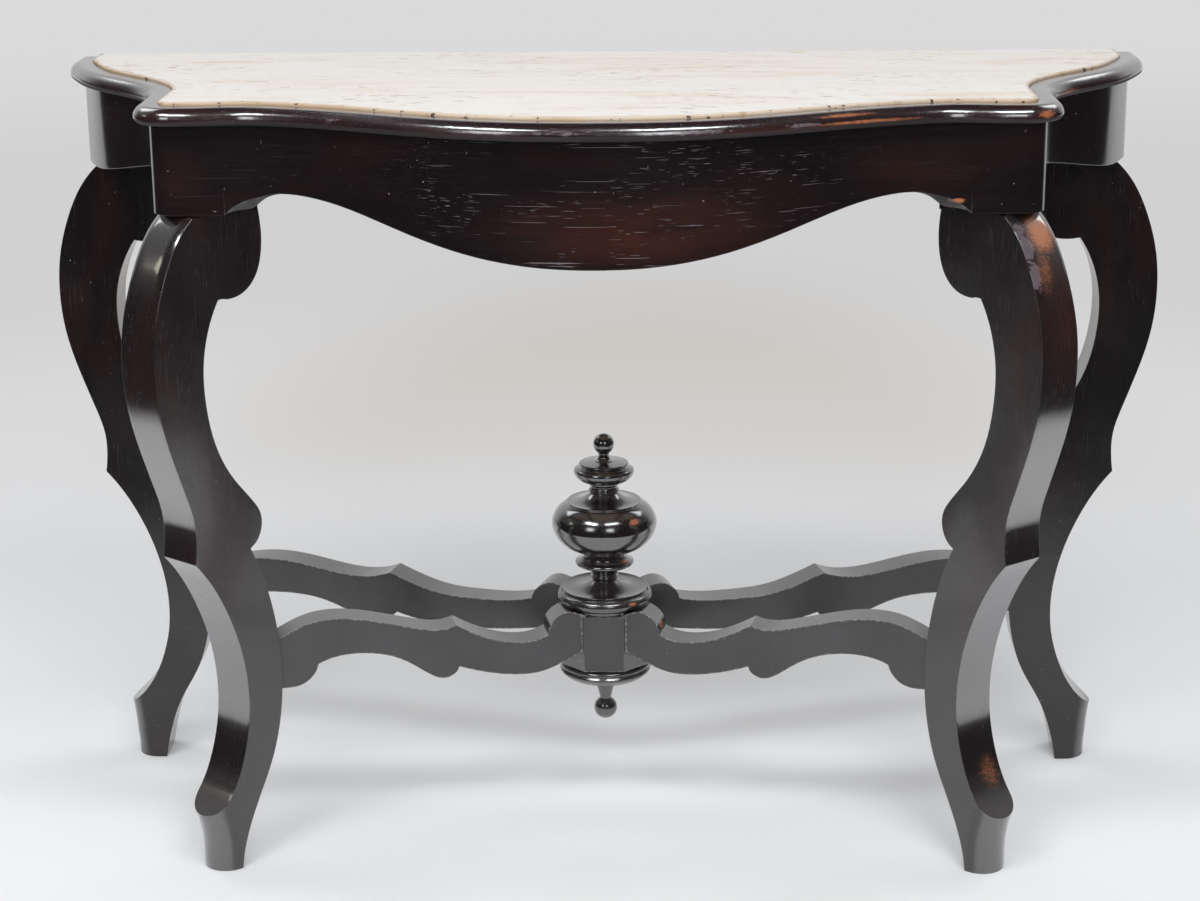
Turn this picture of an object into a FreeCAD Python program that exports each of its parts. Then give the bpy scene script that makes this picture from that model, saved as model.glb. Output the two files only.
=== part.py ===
"""Pier table: a serpentine top frame with an inset marble slab, four sawn
scroll legs and an X stretcher that carries a turned urn and a drop.

Frame: millimetres, +Z up, +X to the right, the front faces -Y. The origin is
on the floor, under the middle of the table's bounding box.
"""
import FreeCAD, Part
import math
import os

V = FreeCAD.Vector

# ---------------------------------------------------------------- heights
FLOOR = 0.0
LEG_TOP = 692.0            # shoulder of the legs, underside of the frame
APRON_TOP = 780.0          # seat of the rim moulding
RIM_HEIGHT = 17.0
TABLE_HEIGHT = 800.0       # face of the marble
MARBLE_THICK = 15.0
MARBLE_SEAT = TABLE_HEIGHT - MARBLE_THICK

# ---------------------------------------------------------------- top plan
BACK_Y = 237.0             # straight back edge of the table
SLAB_FRONT_Y = -213.0      # middle of the marble's front
EAR_FRONT_Y = -115.5       # marble edge on the front of the ear
EAR_SIDE_X = 420.5         # marble edge on the side of the ear
EAR_RADIUS = 16.0
EAR_SIDE_END_Y = -40.0     # where the side sweep leaves the ear
SLAB_HALF_BACK = 546.5     # half length of the marble at the back
SWEEP_END_Y = 204.0        # where the side sweep turns straight to the back
MARBLE_GAP = 0.6           # joint round the loose slab
MARBLE_EASE = 1.2          # eased upper edge of the slab
APRON_OUT = 9.0            # apron face outside the marble edge
APRON_THICK = 20.0
NOSE_OUT = 24.0            # edge of the moulding outside the marble edge
NOSE_UPPER = 11.0          # upper and lower radius of the thumb-shaped nose
NOSE_LOWER = 5.8
LEDGE_IN = 14.0            # rebate ledge under the marble

# Right half of the front edge of the marble, from the middle to the ear.
FRONT_WAVE = [(0, SLAB_FRONT_Y), (50, -211), (110, -198.5), (178, -171), (248, -136.8),
              (300, -118), (343, -110.3), (392, EAR_FRONT_Y)]
# Right side edge of the marble, from the ear to the back.
SIDE_WAVE = [(EAR_SIDE_X, EAR_SIDE_END_Y), (424.5, -8.5), (443.5, 34), (477, 76.5),
             (514, 122), (538, 172), (SLAB_HALF_BACK, SWEEP_END_Y)]

# ---------------------------------------------------------------- aprons
APRON_JOINT_X = 358.0      # front apron meets the ear block
APRON_JOINT_Y = -42.0      # side apron meets the ear block
# Lower edge of the front apron, height against distance from the middle.
FRONT_EDGE = [(0, 658.8), (55, 661), (117, 669.8), (181, 687), (246, 706.9), (288, 713.6),
              (304, 713.2), (317, 708.5), (325.5, 701.7), (332, 697), (343, 695.6), (352, 694.6),
              (APRON_JOINT_X, LEG_TOP)]
# Upper line of the 45 degree bevel under each end of the arch, on the apron's face.
BEVEL_EDGE = [(300, 713.6), (312, 712.6), (323, 709.8), (335, 706.6), (341, 704.2), (347, 701),
              (353, 697), (APRON_JOINT_X, LEG_TOP)]
# Lower edge of the side aprons, height against Y.
SIDE_EDGE = [(APRON_JOINT_Y, 699.0), (-25, 709.5), (5, 714), (27, 713.4), (68, 705.7),
             (118, 694.8), (150, LEG_TOP)]

# ---------------------------------------------------------------- legs
LEG_THICK = 48.0
FRONT_LEG_AT = (376.1, -109.1)     # zero of the leg drawing on its near face
FRONT_LEG_TURN = 51.27             # degrees from the X axis
REAR_LEG_AT = (519.0, BACK_Y - LEG_THICK)
LEG_KNEE = [(21, LEG_TOP), (44, 668), (63.5, 628), (74.5, 586), (77.2, 545), (73, 502), (61, 458),
            (45.3, 414), (37.2, 386), (36.2, 364), (38.5, 342.5)]
LEG_SHIN = [(38.5, 342.5), (19.1, 317), (3.4, 288.7), (-8.5, 260.5), (-17, 232), (-22, 203.7),
            (-23.2, 180), (-21.5, 156), (-14, 125), (-3, 99), (9.5, 80.8), (28.5, 64), (50, 53)]
LEG_FOOT_X = -4.0
REAR_FOOT_WIDER = 7.0      # the rear feet are left wider on the inside
LEG_CALF = [(LEG_FOOT_X, FLOOR), (-12, 32), (-31, 70), (-52, 108), (-65, 148), (-70.3, 196),
            (-66, 247), (-54, 296), (-34.8, 342)]
LEG_INNER_C = [(-34.8, 342), (-48.8, 355), (-51.2, 373), (-41, 391.2), (-17, 420), (3, 456),
               (14.1, 503), (15, 540), (6, 578), (-8, 604.4)]
LEG_LOBE = [(-8, 604.4), (-24, 602.8), (-42, 606.5), (-58, 620), (-66.5, 642), (-68, 662),
            (-64, LEG_TOP)]
TOE_TOP = 95.0             # the rounded toe starts below this height
# Reach of the toe's half-round end, from below the sole to above the tip.
FRONT_TOE = [(18.6, -5), (19.4, 22), (22.8, 46), (28.4, 64), (34, 82), (38, 100)]
REAR_TOE = [(24.2, -5), (24.8, 25), (26.6, 48), (29, 65), (34, 84), (38, 100)]
LEG_TENON = (14.0, 58.0, 36.0)     # thickness, width, height

# ---------------------------------------------------------------- stretcher
AXIS_Y = 65.0              # upright axis of the centre block
ARM_THICK = 33.0
ARM_TENON = (12.0, 26.0)   # thickness, height
FRONT_ARM_AT = (-8.6, 27.0)
FRONT_ARM_TURN = -12.74
FRONT_ARM_TOP = [
    [(18, 231), (35, 235.5), (47, 238.5), (61, 232), (69, 215)],
    [(69, 215), (82, 209.8), (98, 208.5), (124, 213), (166.5, 233)],
    [(166.5, 233), (182, 229.5), (210, 233.5), (250, 243.5), (290, 250), (325, 245.5), (352, 233),
     (376, 222)]]
FRONT_ARM_UNDER = [
    [(376, 182), (345, 178), (328, 181.5), (317, 191), (312, 202)],
    [(312, 202), (293, 208.5), (262, 209.8), (232, 203), (210, 191), (194, 180), (181, 175.5),
     (170, 179), (164.5, 187)],
    [(164.5, 187), (140, 179.5), (108, 173.5), (76, 174.5), (50, 184.5), (18, 199)]]
FRONT_ARM_TENONS = ((20, 60, 202), (330, 390, 214))     # from, to, middle height
REAR_ARM_AT = (-1.6, 70.5)
REAR_ARM_TURN = 15.67
REAR_ARM_TOP = [
    [(18, 234), (40, 239.5), (66, 246.5), (79, 239), (85.5, 227)],
    [(85.5, 227), (108, 222.5), (150, 220.5), (196, 223.5), (224, 231.5), (250, 241.5)],
    [(250, 241.5), (268, 235.5), (290, 233.5), (328, 237.5), (370, 243.5), (405, 243.5), (440, 237),
     (486, 225)]]
REAR_ARM_UNDER = [
    [(486, 177), (466, 176), (448, 181), (436, 190), (431, 200)],
    [(431, 200), (398, 204.5), (362, 206), (326, 201), (296, 190.5), (270, 186), (252, 188.5),
     (243, 196)],
    [(243, 196), (205, 188), (165, 185.8), (125, 187.8), (85, 192.5), (50, 199), (18, 207)]]
REAR_ARM_TENONS = ((20, 60, 208), (455, 497, 208))

# ---------------------------------------------------------------- centre
BLOCK_HALF = 47.0
BLOCK_FACET = 20.7         # half width of the block's straight faces
BLOCK_LOW = 170.0
BLOCK_TOP = 232.5
FINIAL_SEAT = 347.5        # joint between the urn and its cover
DROP_SEAT = 151.0          # joint between the disc and the pendant
FINIAL_BALL = (11.2, 409.8)        # radius, height of the centre
FINIAL_PIP = 1.2           # flat left by the lathe's centre on top of the ball
DROP_BALL = (12.4, 112.4)
SPINDLE_RADIUS = 4.0
SPINDLE_LOW = 130.0
SPINDLE_TOP = 300.0

# ---------------------------------------------------------------- inside
BEARER_X = 165.0
BEARER_WIDTH = 40.0
BEARER_THICK = 22.0
RAIL_THICK = 20.0
REAR_BLOCK_X = 450.0
EAR_BLOCK_PLAN = [(329, -140), (329, -100), (337, -56), (353, -22), (445, -22), (445, -140)]
PEG_RADIUS = 4.0
GLUE_BLOCK = (60.0, 20.0, 42.0)            # length, depth, height
FRONT_GLUE = [(45.0, -201.0), (255.0, -128.0)]
REAR_GLUE = [60.0, 300.0]


# ================================================================ helpers
def curve(points, start=None, end=None, lift=None):
    """Smooth curve through 2-D points; lift turns a pair into a vector."""
    lift = lift or (lambda a, b: V(a, b, 0))
    spline = Part.BSplineCurve()
    options = {"Points": [lift(*p) for p in points]}
    if start and end:
        options["InitialTangent"] = lift(*start)
        options["FinalTangent"] = lift(*end)
        options["Scale"] = False
    spline.interpolate(**options)
    return spline


def upright(a, b):
    """Places a drawing pair (across, height) in the XZ plane."""
    return V(a, 0, b)


def side_view(a, b):
    """Places a drawing pair (Y, height) in the YZ plane."""
    return V(0, a, b)


def closed_face(edges):
    """Face inside a closed chain of edges."""
    wire = Part.Wire(Part.__sortEdges__(edges))
    return Part.Face(wire)


def box(x0, x1, y0, y1, z0, z1):
    """Box between two corners."""
    return Part.makeBox(x1 - x0, y1 - y0, z1 - z0, V(x0, y0, z0))


def mirrored(shape):
    """The same piece on the other side of the table."""
    return shape.mirror(V(0, 0, 0), V(1, 0, 0))


def turned(profile):
    """Solid of revolution about the stretcher's upright axis.

    profile holds (kind, radius, height) steps from the lower axis point to
    the upper one; kind is "line" or "arc", and an arc step also names the
    point that it passes through.
    """
    edges = []
    last = V(0, AXIS_Y, profile[0][2])
    for step in profile:
        end = V(step[1], AXIS_Y, step[2])
        if (end - last).Length < 1e-6:
            continue
        if step[0] == "arc":
            edges.append(Part.Arc(last, V(step[3], AXIS_Y, step[4]), end).toShape())
        else:
            edges.append(Part.makeLine(last, end))
        last = end
    edges.append(Part.makeLine(last, edges[0].Vertexes[0].Point))
    face = Part.Face(Part.Wire(edges))
    return face.revolve(V(0, AXIS_Y, 0), V(0, 0, 1), 360)


def save(name, shape):
    """Writes one sub-part as a STEP file, and stops if it is not sound."""
    if shape.ShapeType == "Compound" and len(shape.Solids) == 1:
        shape = shape.Solids[0]
    if not shape.Solids or not shape.isValid():
        raise RuntimeError("the solid of %s is not sound" % name)
    shape.exportStep("parts/%s.step" % name)
    print("%-20s solids %d  volume %.1f cm3" % (name, len(shape.Solids), shape.Volume / 1000.0))


# ================================================================ top plan
def shifted(points, start, end, distance):
    """Parallel curve: points of the smooth curve moved along its normal."""
    spline = curve(points, start, end)
    first, last = spline.FirstParameter, spline.LastParameter
    count = 3 * len(points)
    moved = []
    for i in range(count + 1):
        t = first + (last - first) * i / count
        here = spline.value(t)
        along = spline.tangent(t)[0]
        moved.append((here.x + along.y * distance, here.y - along.x * distance))
    return curve(moved, start, end).toShape()


def right_edges(distance):
    """Edges of the right side of the slab outline, moved outwards."""
    corner = V(EAR_SIDE_X - EAR_RADIUS, EAR_FRONT_Y + EAR_RADIUS, 0)
    reach = EAR_RADIUS + distance
    arc_start = corner + V(0, -reach, 0)
    arc_end = corner + V(reach, 0, 0)
    arc_mid = corner + V(reach * math.sqrt(0.5), -reach * math.sqrt(0.5), 0)
    wave_end = V(FRONT_WAVE[-1][0], EAR_FRONT_Y - distance, 0)
    side_start = V(EAR_SIDE_X + distance, EAR_SIDE_END_Y, 0)
    side_end = V(SLAB_HALF_BACK + distance, SWEEP_END_Y, 0)
    return [Part.makeLine(wave_end, arc_start),
            Part.Arc(arc_start, arc_mid, arc_end).toShape(),
            Part.makeLine(arc_end, side_start),
            shifted(SIDE_WAVE, (0, 1), (0, 1), distance),
            Part.makeLine(side_end, V(side_end.x, BACK_Y, 0))]


def slab_line(distance):
    """Open wire of the slab outline, moved outwards, without the back edge."""
    whole_wave = [(-x, y) for x, y in reversed(FRONT_WAVE[1:])] + FRONT_WAVE
    edges = [shifted(whole_wave, (1, 0), (1, 0), distance)]
    for edge in right_edges(distance):
        edges.append(edge)
        edges.append(mirrored(edge))
    return Part.Wire(Part.__sortEdges__(edges))


def plan_ring(distance, height):
    """Closed wire of the moved outline at a height."""
    wire = slab_line(distance)
    corner = V(SLAB_HALF_BACK + distance, BACK_Y, 0)
    back = Part.makeLine(V(-corner.x, BACK_Y, 0), corner)
    ring = Part.Wire(Part.__sortEdges__(wire.Edges + [back]))
    ring.translate(V(0, 0, height))
    return ring


def plan_solid(distance, low, high):
    """Everything inside the moved outline, between two heights."""
    face = Part.Face(plan_ring(distance, low))
    return face.extrude(V(0, 0, high - low))


def marble_top():
    """Loose slab with an eased upper edge."""
    ease_z = TABLE_HEIGHT - MARBLE_EASE
    slab = plan_solid(-MARBLE_GAP, MARBLE_SEAT, ease_z)
    rings = [plan_ring(-MARBLE_GAP, ease_z), plan_ring(-MARBLE_GAP - MARBLE_EASE, TABLE_HEIGHT)]
    return slab.fuse(Part.makeLoft(rings, True, True))


def level_edges(shape, height):
    """Edges of a shape at one height, without those along the table's back."""
    found = []
    for edge in shape.Edges:
        ends = edge.Vertexes
        level = all(abs(v.Z - height) < 0.01 for v in ends)
        if level and not all(abs(v.Y - BACK_Y) < 0.01 for v in ends):
            found.append(edge)
    return found


def rim_ring():
    """Moulding round the slab: flat, thumb-shaped nose and rebate."""
    board = plan_solid(NOSE_OUT, APRON_TOP, APRON_TOP + RIM_HEIGHT)
    board = board.makeFillet(NOSE_UPPER, level_edges(board, APRON_TOP + RIM_HEIGHT))
    board = board.makeFillet(NOSE_LOWER, level_edges(board, APRON_TOP))
    rebate = plan_solid(0.0, MARBLE_SEAT, TABLE_HEIGHT)
    opening = plan_solid(-LEDGE_IN, APRON_TOP - 10, TABLE_HEIGHT)
    return board.cut(rebate).cut(opening)


def mitre_wedge():
    """Prism over the front of the table, bounded by the two ear mitres."""
    knee = (EAR_SIDE_X - EAR_RADIUS, EAR_FRONT_Y + EAR_RADIUS)
    reach = 220.0
    ring = [V(knee[0] - reach, knee[1] + reach, 0), V(knee[0] + reach, knee[1] - reach, 0),
            V(-knee[0] - reach, knee[1] - reach, 0), V(-knee[0] + reach, knee[1] + reach, 0)]
    ring.append(ring[0])
    return Part.Face(Part.makePolygon(ring)).extrude(V(0, 0, TABLE_HEIGHT))


# ================================================================ aprons
def edge_cutter(points, lift, sweep, start_height):
    """Prism below an apron's shaped lower edge."""
    line = curve(points, lift=lift).toShape()
    first, last = points[0], points[-1]
    foot = start_height
    edges = [line,
             Part.makeLine(lift(*last), lift(last[0], foot)),
             Part.makeLine(lift(last[0], foot), lift(first[0], foot)),
             Part.makeLine(lift(first[0], foot), lift(*first))]
    face = closed_face(edges)
    face.translate(sweep * -0.5)
    return face.extrude(sweep)


def apron_band():
    """The whole band of the aprons before it is divided."""
    outer = plan_solid(APRON_OUT, 640.0, APRON_TOP)
    inner = plan_solid(APRON_OUT - APRON_THICK, 630.0, APRON_TOP + 10)
    behind = box(-600, 600, BACK_Y - 1, BACK_Y + 1, 630, 790)
    return outer.cut(inner).cut(behind)


def arch_bevel():
    """Cutter for the bevel that rises at 45 degrees to the arch's right end."""
    wave = curve(FRONT_WAVE, (1, 0), (1, 0))
    base = wave.value(wave.parameter(V(BEVEL_EDGE[3][0], EAR_FRONT_Y, 0))).y
    points = []
    for x, z in BEVEL_EDGE:
        face = wave.value(wave.parameter(V(x, EAR_FRONT_Y, 0))).y
        points.append((x, z + face - base))
    low = 640.0
    first, last = points[0], points[-1]
    edges = [curve(points, lift=upright).toShape(),
             Part.makeLine(upright(*last), upright(last[0], low)),
             Part.makeLine(upright(last[0], low), upright(first[0], low)),
             Part.makeLine(upright(first[0], low), upright(*first))]
    face = closed_face(edges)
    start = base - APRON_OUT
    face.translate(V(0, start - 12, 12))
    return face.extrude(V(0, 60, -60))


def front_apron(band):
    """Bowed front apron with its shaped lower edge and bevelled arch ends."""
    whole_edge = [(-x, z) for x, z in reversed(FRONT_EDGE[1:])] + FRONT_EDGE
    piece = band.common(box(-APRON_JOINT_X, APRON_JOINT_X, -260, -60, 600, 800))
    piece = piece.cut(edge_cutter(whole_edge, upright, V(0, 600, 0), 600.0))
    bevel = arch_bevel()
    return piece.cut(bevel).cut(mirrored(bevel))


def side_apron(band):
    """Right side apron, sweeping out from the ear to the back."""
    piece = band.common(box(300, 700, APRON_JOINT_Y, BACK_Y, 600, 800))
    piece = piece.cut(box(300, 700, SIDE_EDGE[-1][0] - 1, BACK_Y + 1, 600, LEG_TOP))
    return piece.cut(edge_cutter(SIDE_EDGE, side_view, V(1600, 0, 0), 600.0))


# ================================================================ legs
def plank(chains, thickness):
    """Board sawn to a drawing: chains are drawn through their points."""
    edges = []
    for points in chains:
        if len(points) > 2:
            edges.append(curve(points, lift=upright).toShape())
        else:
            edges.append(Part.makeLine(upright(*points[0]), upright(*points[1])))
    return closed_face(edges).extrude(V(0, thickness, 0))


def toe_column(line):
    """Column with a half-round end that hollows in below the toe's tip."""
    def ring(height, reach):
        half = LEG_THICK / 2.0
        u = reach - half
        arc = Part.Arc(V(u, 0, height), V(reach, half, height), V(u, LEG_THICK, height))
        return Part.Wire([Part.makeLine(V(-100, 0, height), V(u, 0, height)), arc.toShape(),
                          Part.makeLine(V(u, LEG_THICK, height), V(-100, LEG_THICK, height)),
                          Part.makeLine(V(-100, LEG_THICK, height), V(-100, 0, height))])
    return Part.makeLoft([ring(height, reach) for reach, height in line], True, False)


def leg_drawing(toe_line, foot_wider=0.0):
    """One leg in its own drawing plane, with the tenon on its top."""
    end = LEG_SHIN[-1]
    sole = (LEG_CALF[0][0] - foot_wider, FLOOR)
    ankle = (LEG_CALF[1][0] - foot_wider * 0.8, LEG_CALF[1][1])
    calf = [sole, ankle] + LEG_CALF[2:]
    board = plank([LEG_KNEE, LEG_SHIN, [end, (end[0], FLOOR)], [(end[0], FLOOR), sole],
                   calf, LEG_INNER_C, LEG_LOBE, [LEG_LOBE[-1], LEG_KNEE[0]]], LEG_THICK)
    waste = box(-25, 80, -1, LEG_THICK + 1, -1, TOE_TOP).cut(toe_column(toe_line))
    board = board.cut(waste)
    return board.fuse(leg_tenon()).removeSplitter()


def leg_tenon():
    """Stub that stands in the corner block."""
    thick, width, height = LEG_TENON
    middle = 0.5 * (LEG_KNEE[0][0] + LEG_LOBE[-1][0])
    v0 = 0.5 * (LEG_THICK - thick)
    return box(middle - width / 2, middle + width / 2, v0, v0 + thick, LEG_TOP - 2, LEG_TOP + height)


def placed(shape, at, turn):
    """Drawing plane turned about the vertical and set in place."""
    piece = shape.copy()
    piece.rotate(V(0, 0, 0), V(0, 0, 1), turn)
    piece.translate(V(at[0], at[1], 0))
    return piece


def leg_pegs(at, turn):
    """Two pegs through a leg's tenon, inside its corner block."""
    middle = 0.5 * (LEG_KNEE[0][0] + LEG_LOBE[-1][0])
    pegs = []
    for u in (middle - 14, middle + 14):
        peg = Part.makeCylinder(PEG_RADIUS, 34, V(u, LEG_THICK / 2 - 17, LEG_TOP + 18), V(0, 1, 0))
        pegs.append(placed(peg, at, turn))
    return pegs


# ================================================================ stretcher
def arm(top, under, at, turn):
    """Scrolled stretcher arm as a sawn board, still running past its ends."""
    chains = top + [[top[-1][-1], under[0][0]]] + under + [[under[-1][-1], top[0][0]]]
    return placed(plank(chains, ARM_THICK), at, turn)


def arm_tenons(spans, at, turn):
    """Stub tenons of an arm, towards the block and towards the leg."""
    thick, height = ARM_TENON
    v0 = 0.5 * (ARM_THICK - thick)
    return [placed(box(s0, s1, v0, v0 + thick, z - height / 2, z + height / 2), at, turn)
            for s0, s1, z in spans]


def centre_block():
    """Octagonal block that the four arms meet."""
    h, f = BLOCK_HALF, BLOCK_FACET
    ring = [(f, -h), (h, -f), (h, f), (f, h), (-f, h), (-h, f), (-h, -f), (-f, -h), (f, -h)]
    face = Part.Face(Part.makePolygon([V(x, y + AXIS_Y, BLOCK_LOW) for x, y in ring]))
    return face.extrude(V(0, 0, BLOCK_TOP - BLOCK_LOW))


def urn_collar():
    """Moulded cap of the block: bead, fillet and cone."""
    z = BLOCK_TOP
    return turned([("line", 0, z), ("line", 46.5, z), ("line", 46.5, z + 3),
                   ("arc", 46.5, z + 16, 51.5, z + 9.5), ("line", 46, z + 19.5),
                   ("arc", 13.4, 259, 24, 252.8), ("line", 13.4, 260), ("line", 0, 260)])


def urn_body():
    """Neck, saucer and bulb of the urn up to its shoulder."""
    return turned([("line", 0, 260), ("line", 13.4, 260), ("line", 13.4, 261.5),
                   ("arc", 13.4, 265.5, 14.8, 263.5), ("line", 14.4, 269.5), ("line", 16, 273),
                   ("arc", 29.8, 277.3, 23.5, 274.4), ("arc", 29.8, 281.8, 31.4, 279.5),
                   ("arc", 24.5, 286.5, 26.6, 283.6), ("line", 23.5, 293.5),
                   ("arc", 56, 322.7, 46.3, 303.2), ("arc", 39.7, 346, 51.2, 337),
                   ("line", 39.7, FINIAL_SEAT), ("line", 0, FINIAL_SEAT)])


def urn_finial():
    """Cover of the urn: waist, disc, stem and ball."""
    radius, centre = FINIAL_BALL
    neck = 5.8
    foot = centre - math.sqrt(radius ** 2 - neck ** 2)
    crown = centre + math.sqrt(radius ** 2 - FINIAL_PIP ** 2)
    return turned([("line", 0, FINIAL_SEAT), ("line", 39.7, FINIAL_SEAT),
                   ("line", 39.1, FINIAL_SEAT + 0.6), ("arc", 15, 357, 24, 350.6),
                   ("arc", 15, 361.5, 16.4, 359.2), ("line", 14.4, 363.5), ("arc", 18.4, 367.4, 15.4, 366.2),
                   ("line", 18.4, 369), ("line", 22.4, 370), ("arc", 31.9, 379.5, 28.6, 373.6),
                   ("arc", 29.6, 384, 31.6, 382.2), ("line", 26.4, 385.4), ("line", 26.4, 388.6),
                   ("line", 25.4, 389.8), ("line", 11.5, 391), ("arc", neck, 397.5, 7.4, 393),
                   ("line", neck, foot), ("arc", FINIAL_PIP, crown, radius, centre),
                   ("line", 0, crown)])


def drop_disc():
    """Flat turned disc under the block."""
    return turned([("line", 0, DROP_SEAT), ("line", 30, DROP_SEAT), ("arc", 46, 156.2, 41, 152),
                   ("arc", 48.9, 160.5, 48.4, 158), ("line", 46.8, 163), ("arc", 46.8, 168, 48.8, 165.5),
                   ("line", 44, BLOCK_LOW), ("line", 0, BLOCK_LOW)])


def drop_pendant():
    """Tapering neck and ball that hang below the disc."""
    radius, centre = DROP_BALL
    neck = 5.7
    head = centre + math.sqrt(radius ** 2 - neck ** 2)
    return turned([("line", 0, centre - radius), ("arc", neck, head, radius, centre),
                   ("arc", 11.6, 145, 8.2, 133.5), ("line", 12.4, DROP_SEAT), ("line", 0, DROP_SEAT)])


def spindle():
    """Dowel that strings the urn, the block and the drop together."""
    return Part.makeCylinder(SPINDLE_RADIUS, SPINDLE_TOP - SPINDLE_LOW, V(0, AXIS_Y, SPINDLE_LOW))


# ================================================================ inside
def bearer():
    """Cross bearer under the slab, with stubs into front and back."""
    x0, x1 = BEARER_X - BEARER_WIDTH / 2, BEARER_X + BEARER_WIDTH / 2
    z1 = MARBLE_SEAT
    body = box(x0, x1, -250, BACK_Y - RAIL_THICK, z1 - BEARER_THICK, z1)
    body = body.common(plan_solid(-LEDGE_IN, 700, 800))
    stub = box(x0 + 8, x1 - 8, -182, BACK_Y - RAIL_THICK + 8, z1 - BEARER_THICK + 2, APRON_TOP - 3)
    inside = plan_solid(APRON_OUT - APRON_THICK + 9, 700, 800)
    return body.fuse(stub.common(inside)).removeSplitter()


def glue_blocks(band):
    """Glue blocks in the angle of the aprons, scribed to their curve."""
    length, size, tall = GLUE_BLOCK
    half = length / 2.0
    room = plan_solid(APRON_OUT - APRON_THICK, APRON_TOP - tall, APRON_TOP)
    blocks = []
    for x, y in FRONT_GLUE:
        blocks.append(box(x - half, x + half, y - size, y + size, 700, 800).common(room))
    for x in REAR_GLUE:
        y = BACK_Y - RAIL_THICK
        blocks.append(box(x - half, x + half, y - size, y, APRON_TOP - tall, APRON_TOP))
    return blocks + [mirrored(b) for b in blocks]


def ear_block(band):
    """Solid ear that carries a front leg, wrapped behind both aprons."""
    ring = [V(x, y, LEG_TOP) for x, y in EAR_BLOCK_PLAN]
    ring.append(ring[0])
    core = Part.Face(Part.makePolygon(ring)).extrude(V(0, 0, APRON_TOP - LEG_TOP))
    core = core.common(plan_solid(APRON_OUT, LEG_TOP, APRON_TOP))
    front = band.common(box(-APRON_JOINT_X, APRON_JOINT_X, -260, -60, 600, 800))
    side = band.common(box(300, 700, APRON_JOINT_Y, BACK_Y, 600, 800))
    return core.cut(front).cut(side)


def rear_block(band):
    """Block that carries a rear leg in the angle of the side apron."""
    core = box(REAR_BLOCK_X, 600, BACK_Y - LEG_THICK, BACK_Y, LEG_TOP, APRON_TOP)
    return core.common(plan_solid(APRON_OUT - APRON_THICK, LEG_TOP, APRON_TOP))


def back_rail():
    """Straight rail between the rear corner blocks."""
    reach = REAR_BLOCK_X
    y0 = BACK_Y - RAIL_THICK
    rail = box(-reach, reach, y0, BACK_Y, LEG_TOP, MARBLE_SEAT)
    stub = box(-reach - 15, reach + 15, y0 + 4, BACK_Y - 4, LEG_TOP + 10, APRON_TOP - 10)
    return rail.fuse(stub).removeSplitter()


# ================================================================ assembly
def build():
    """All sub-parts by name."""
    parts = {"marble_top": marble_top()}

    ring = rim_ring()
    wedge = mitre_wedge()
    parts["rim_front"] = ring.common(wedge)
    sides = ring.cut(wedge)
    parts["rim_right"] = sides.common(box(0, 700, -300, 300, 700, 900))
    parts["rim_left"] = mirrored(parts["rim_right"])

    band = apron_band()
    bearers = [bearer(), mirrored(bearer())]
    rail = back_rail()
    front = front_apron(band)
    for piece in bearers:
        front = front.cut(piece)
        rail = rail.cut(piece)
    parts["apron_front"] = front
    parts["apron_right"] = side_apron(band)
    parts["apron_left"] = mirrored(parts["apron_right"])
    parts["bearer_right"], parts["bearer_left"] = bearers
    parts["back_rail"] = rail
    parts["glue_blocks"] = Part.makeCompound(glue_blocks(band))

    front_leg = placed(leg_drawing(FRONT_TOE), FRONT_LEG_AT, -FRONT_LEG_TURN)
    rear_leg = placed(leg_drawing(REAR_TOE, REAR_FOOT_WIDER), REAR_LEG_AT, 0.0)
    front_pegs = leg_pegs(FRONT_LEG_AT, -FRONT_LEG_TURN)
    rear_pegs = leg_pegs(REAR_LEG_AT, 0.0)
    ear = ear_block(band).cut(front_leg)
    heel = rear_block(band).cut(rear_leg).cut(rail)
    for peg in front_pegs:
        ear = ear.cut(peg)
        front_leg = front_leg.cut(peg)
    for peg in rear_pegs:
        heel = heel.cut(peg)
        rear_leg = rear_leg.cut(peg)
    pegs = front_pegs + rear_pegs
    parts["leg_pegs"] = Part.makeCompound(pegs + [mirrored(p) for p in pegs])
    parts["ear_block_right"], parts["ear_block_left"] = ear, mirrored(ear)
    parts["rear_block_right"], parts["rear_block_left"] = heel, mirrored(heel)

    block = centre_block()
    collar = urn_collar()
    rod = spindle()
    for name, leg, drawing in (("front", front_leg, (FRONT_ARM_TOP, FRONT_ARM_UNDER, FRONT_ARM_AT,
                                                     FRONT_ARM_TURN, FRONT_ARM_TENONS)),
                               ("rear", rear_leg, (REAR_ARM_TOP, REAR_ARM_UNDER, REAR_ARM_AT,
                                                   REAR_ARM_TURN, REAR_ARM_TENONS))):
        top, under, at, turn, spans = drawing
        limb = arm(top, under, at, turn).cut(leg).cut(centre_block()).cut(collar)
        limb = max(limb.Solids, key=lambda s: s.Volume)
        for stub in arm_tenons(spans, at, turn):
            limb = limb.fuse(stub)
            leg = leg.cut(stub)
            block = block.cut(stub).cut(mirrored(stub))
        limb = limb.removeSplitter()
        parts["arm_%s_right" % name] = limb
        parts["arm_%s_left" % name] = mirrored(limb)
        parts["leg_%s_right" % name] = leg
        parts["leg_%s_left" % name] = mirrored(leg)

    parts["stretcher_block"] = block.cut(rod)
    parts["urn_collar"] = collar.cut(rod)
    parts["urn_body"] = urn_body().cut(rod)
    parts["urn_finial"] = urn_finial()
    parts["drop_disc"] = drop_disc().cut(rod)
    parts["drop_pendant"] = drop_pendant().cut(rod)
    parts["spindle"] = rod
    return parts


os.makedirs("parts", exist_ok=True)
for part_name, part_shape in build().items():
    save(part_name, part_shape)
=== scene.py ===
"""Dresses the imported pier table: eased arrises, turned urn and drop, inset
marble and worn ebonised finishes, with a plain studio round it.

Metres, +Z up, +X to the right, the front faces -Y, origin on the floor.
"""
import math

import bmesh
import bpy
import numpy as np
from mathutils import Matrix, Vector


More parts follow.
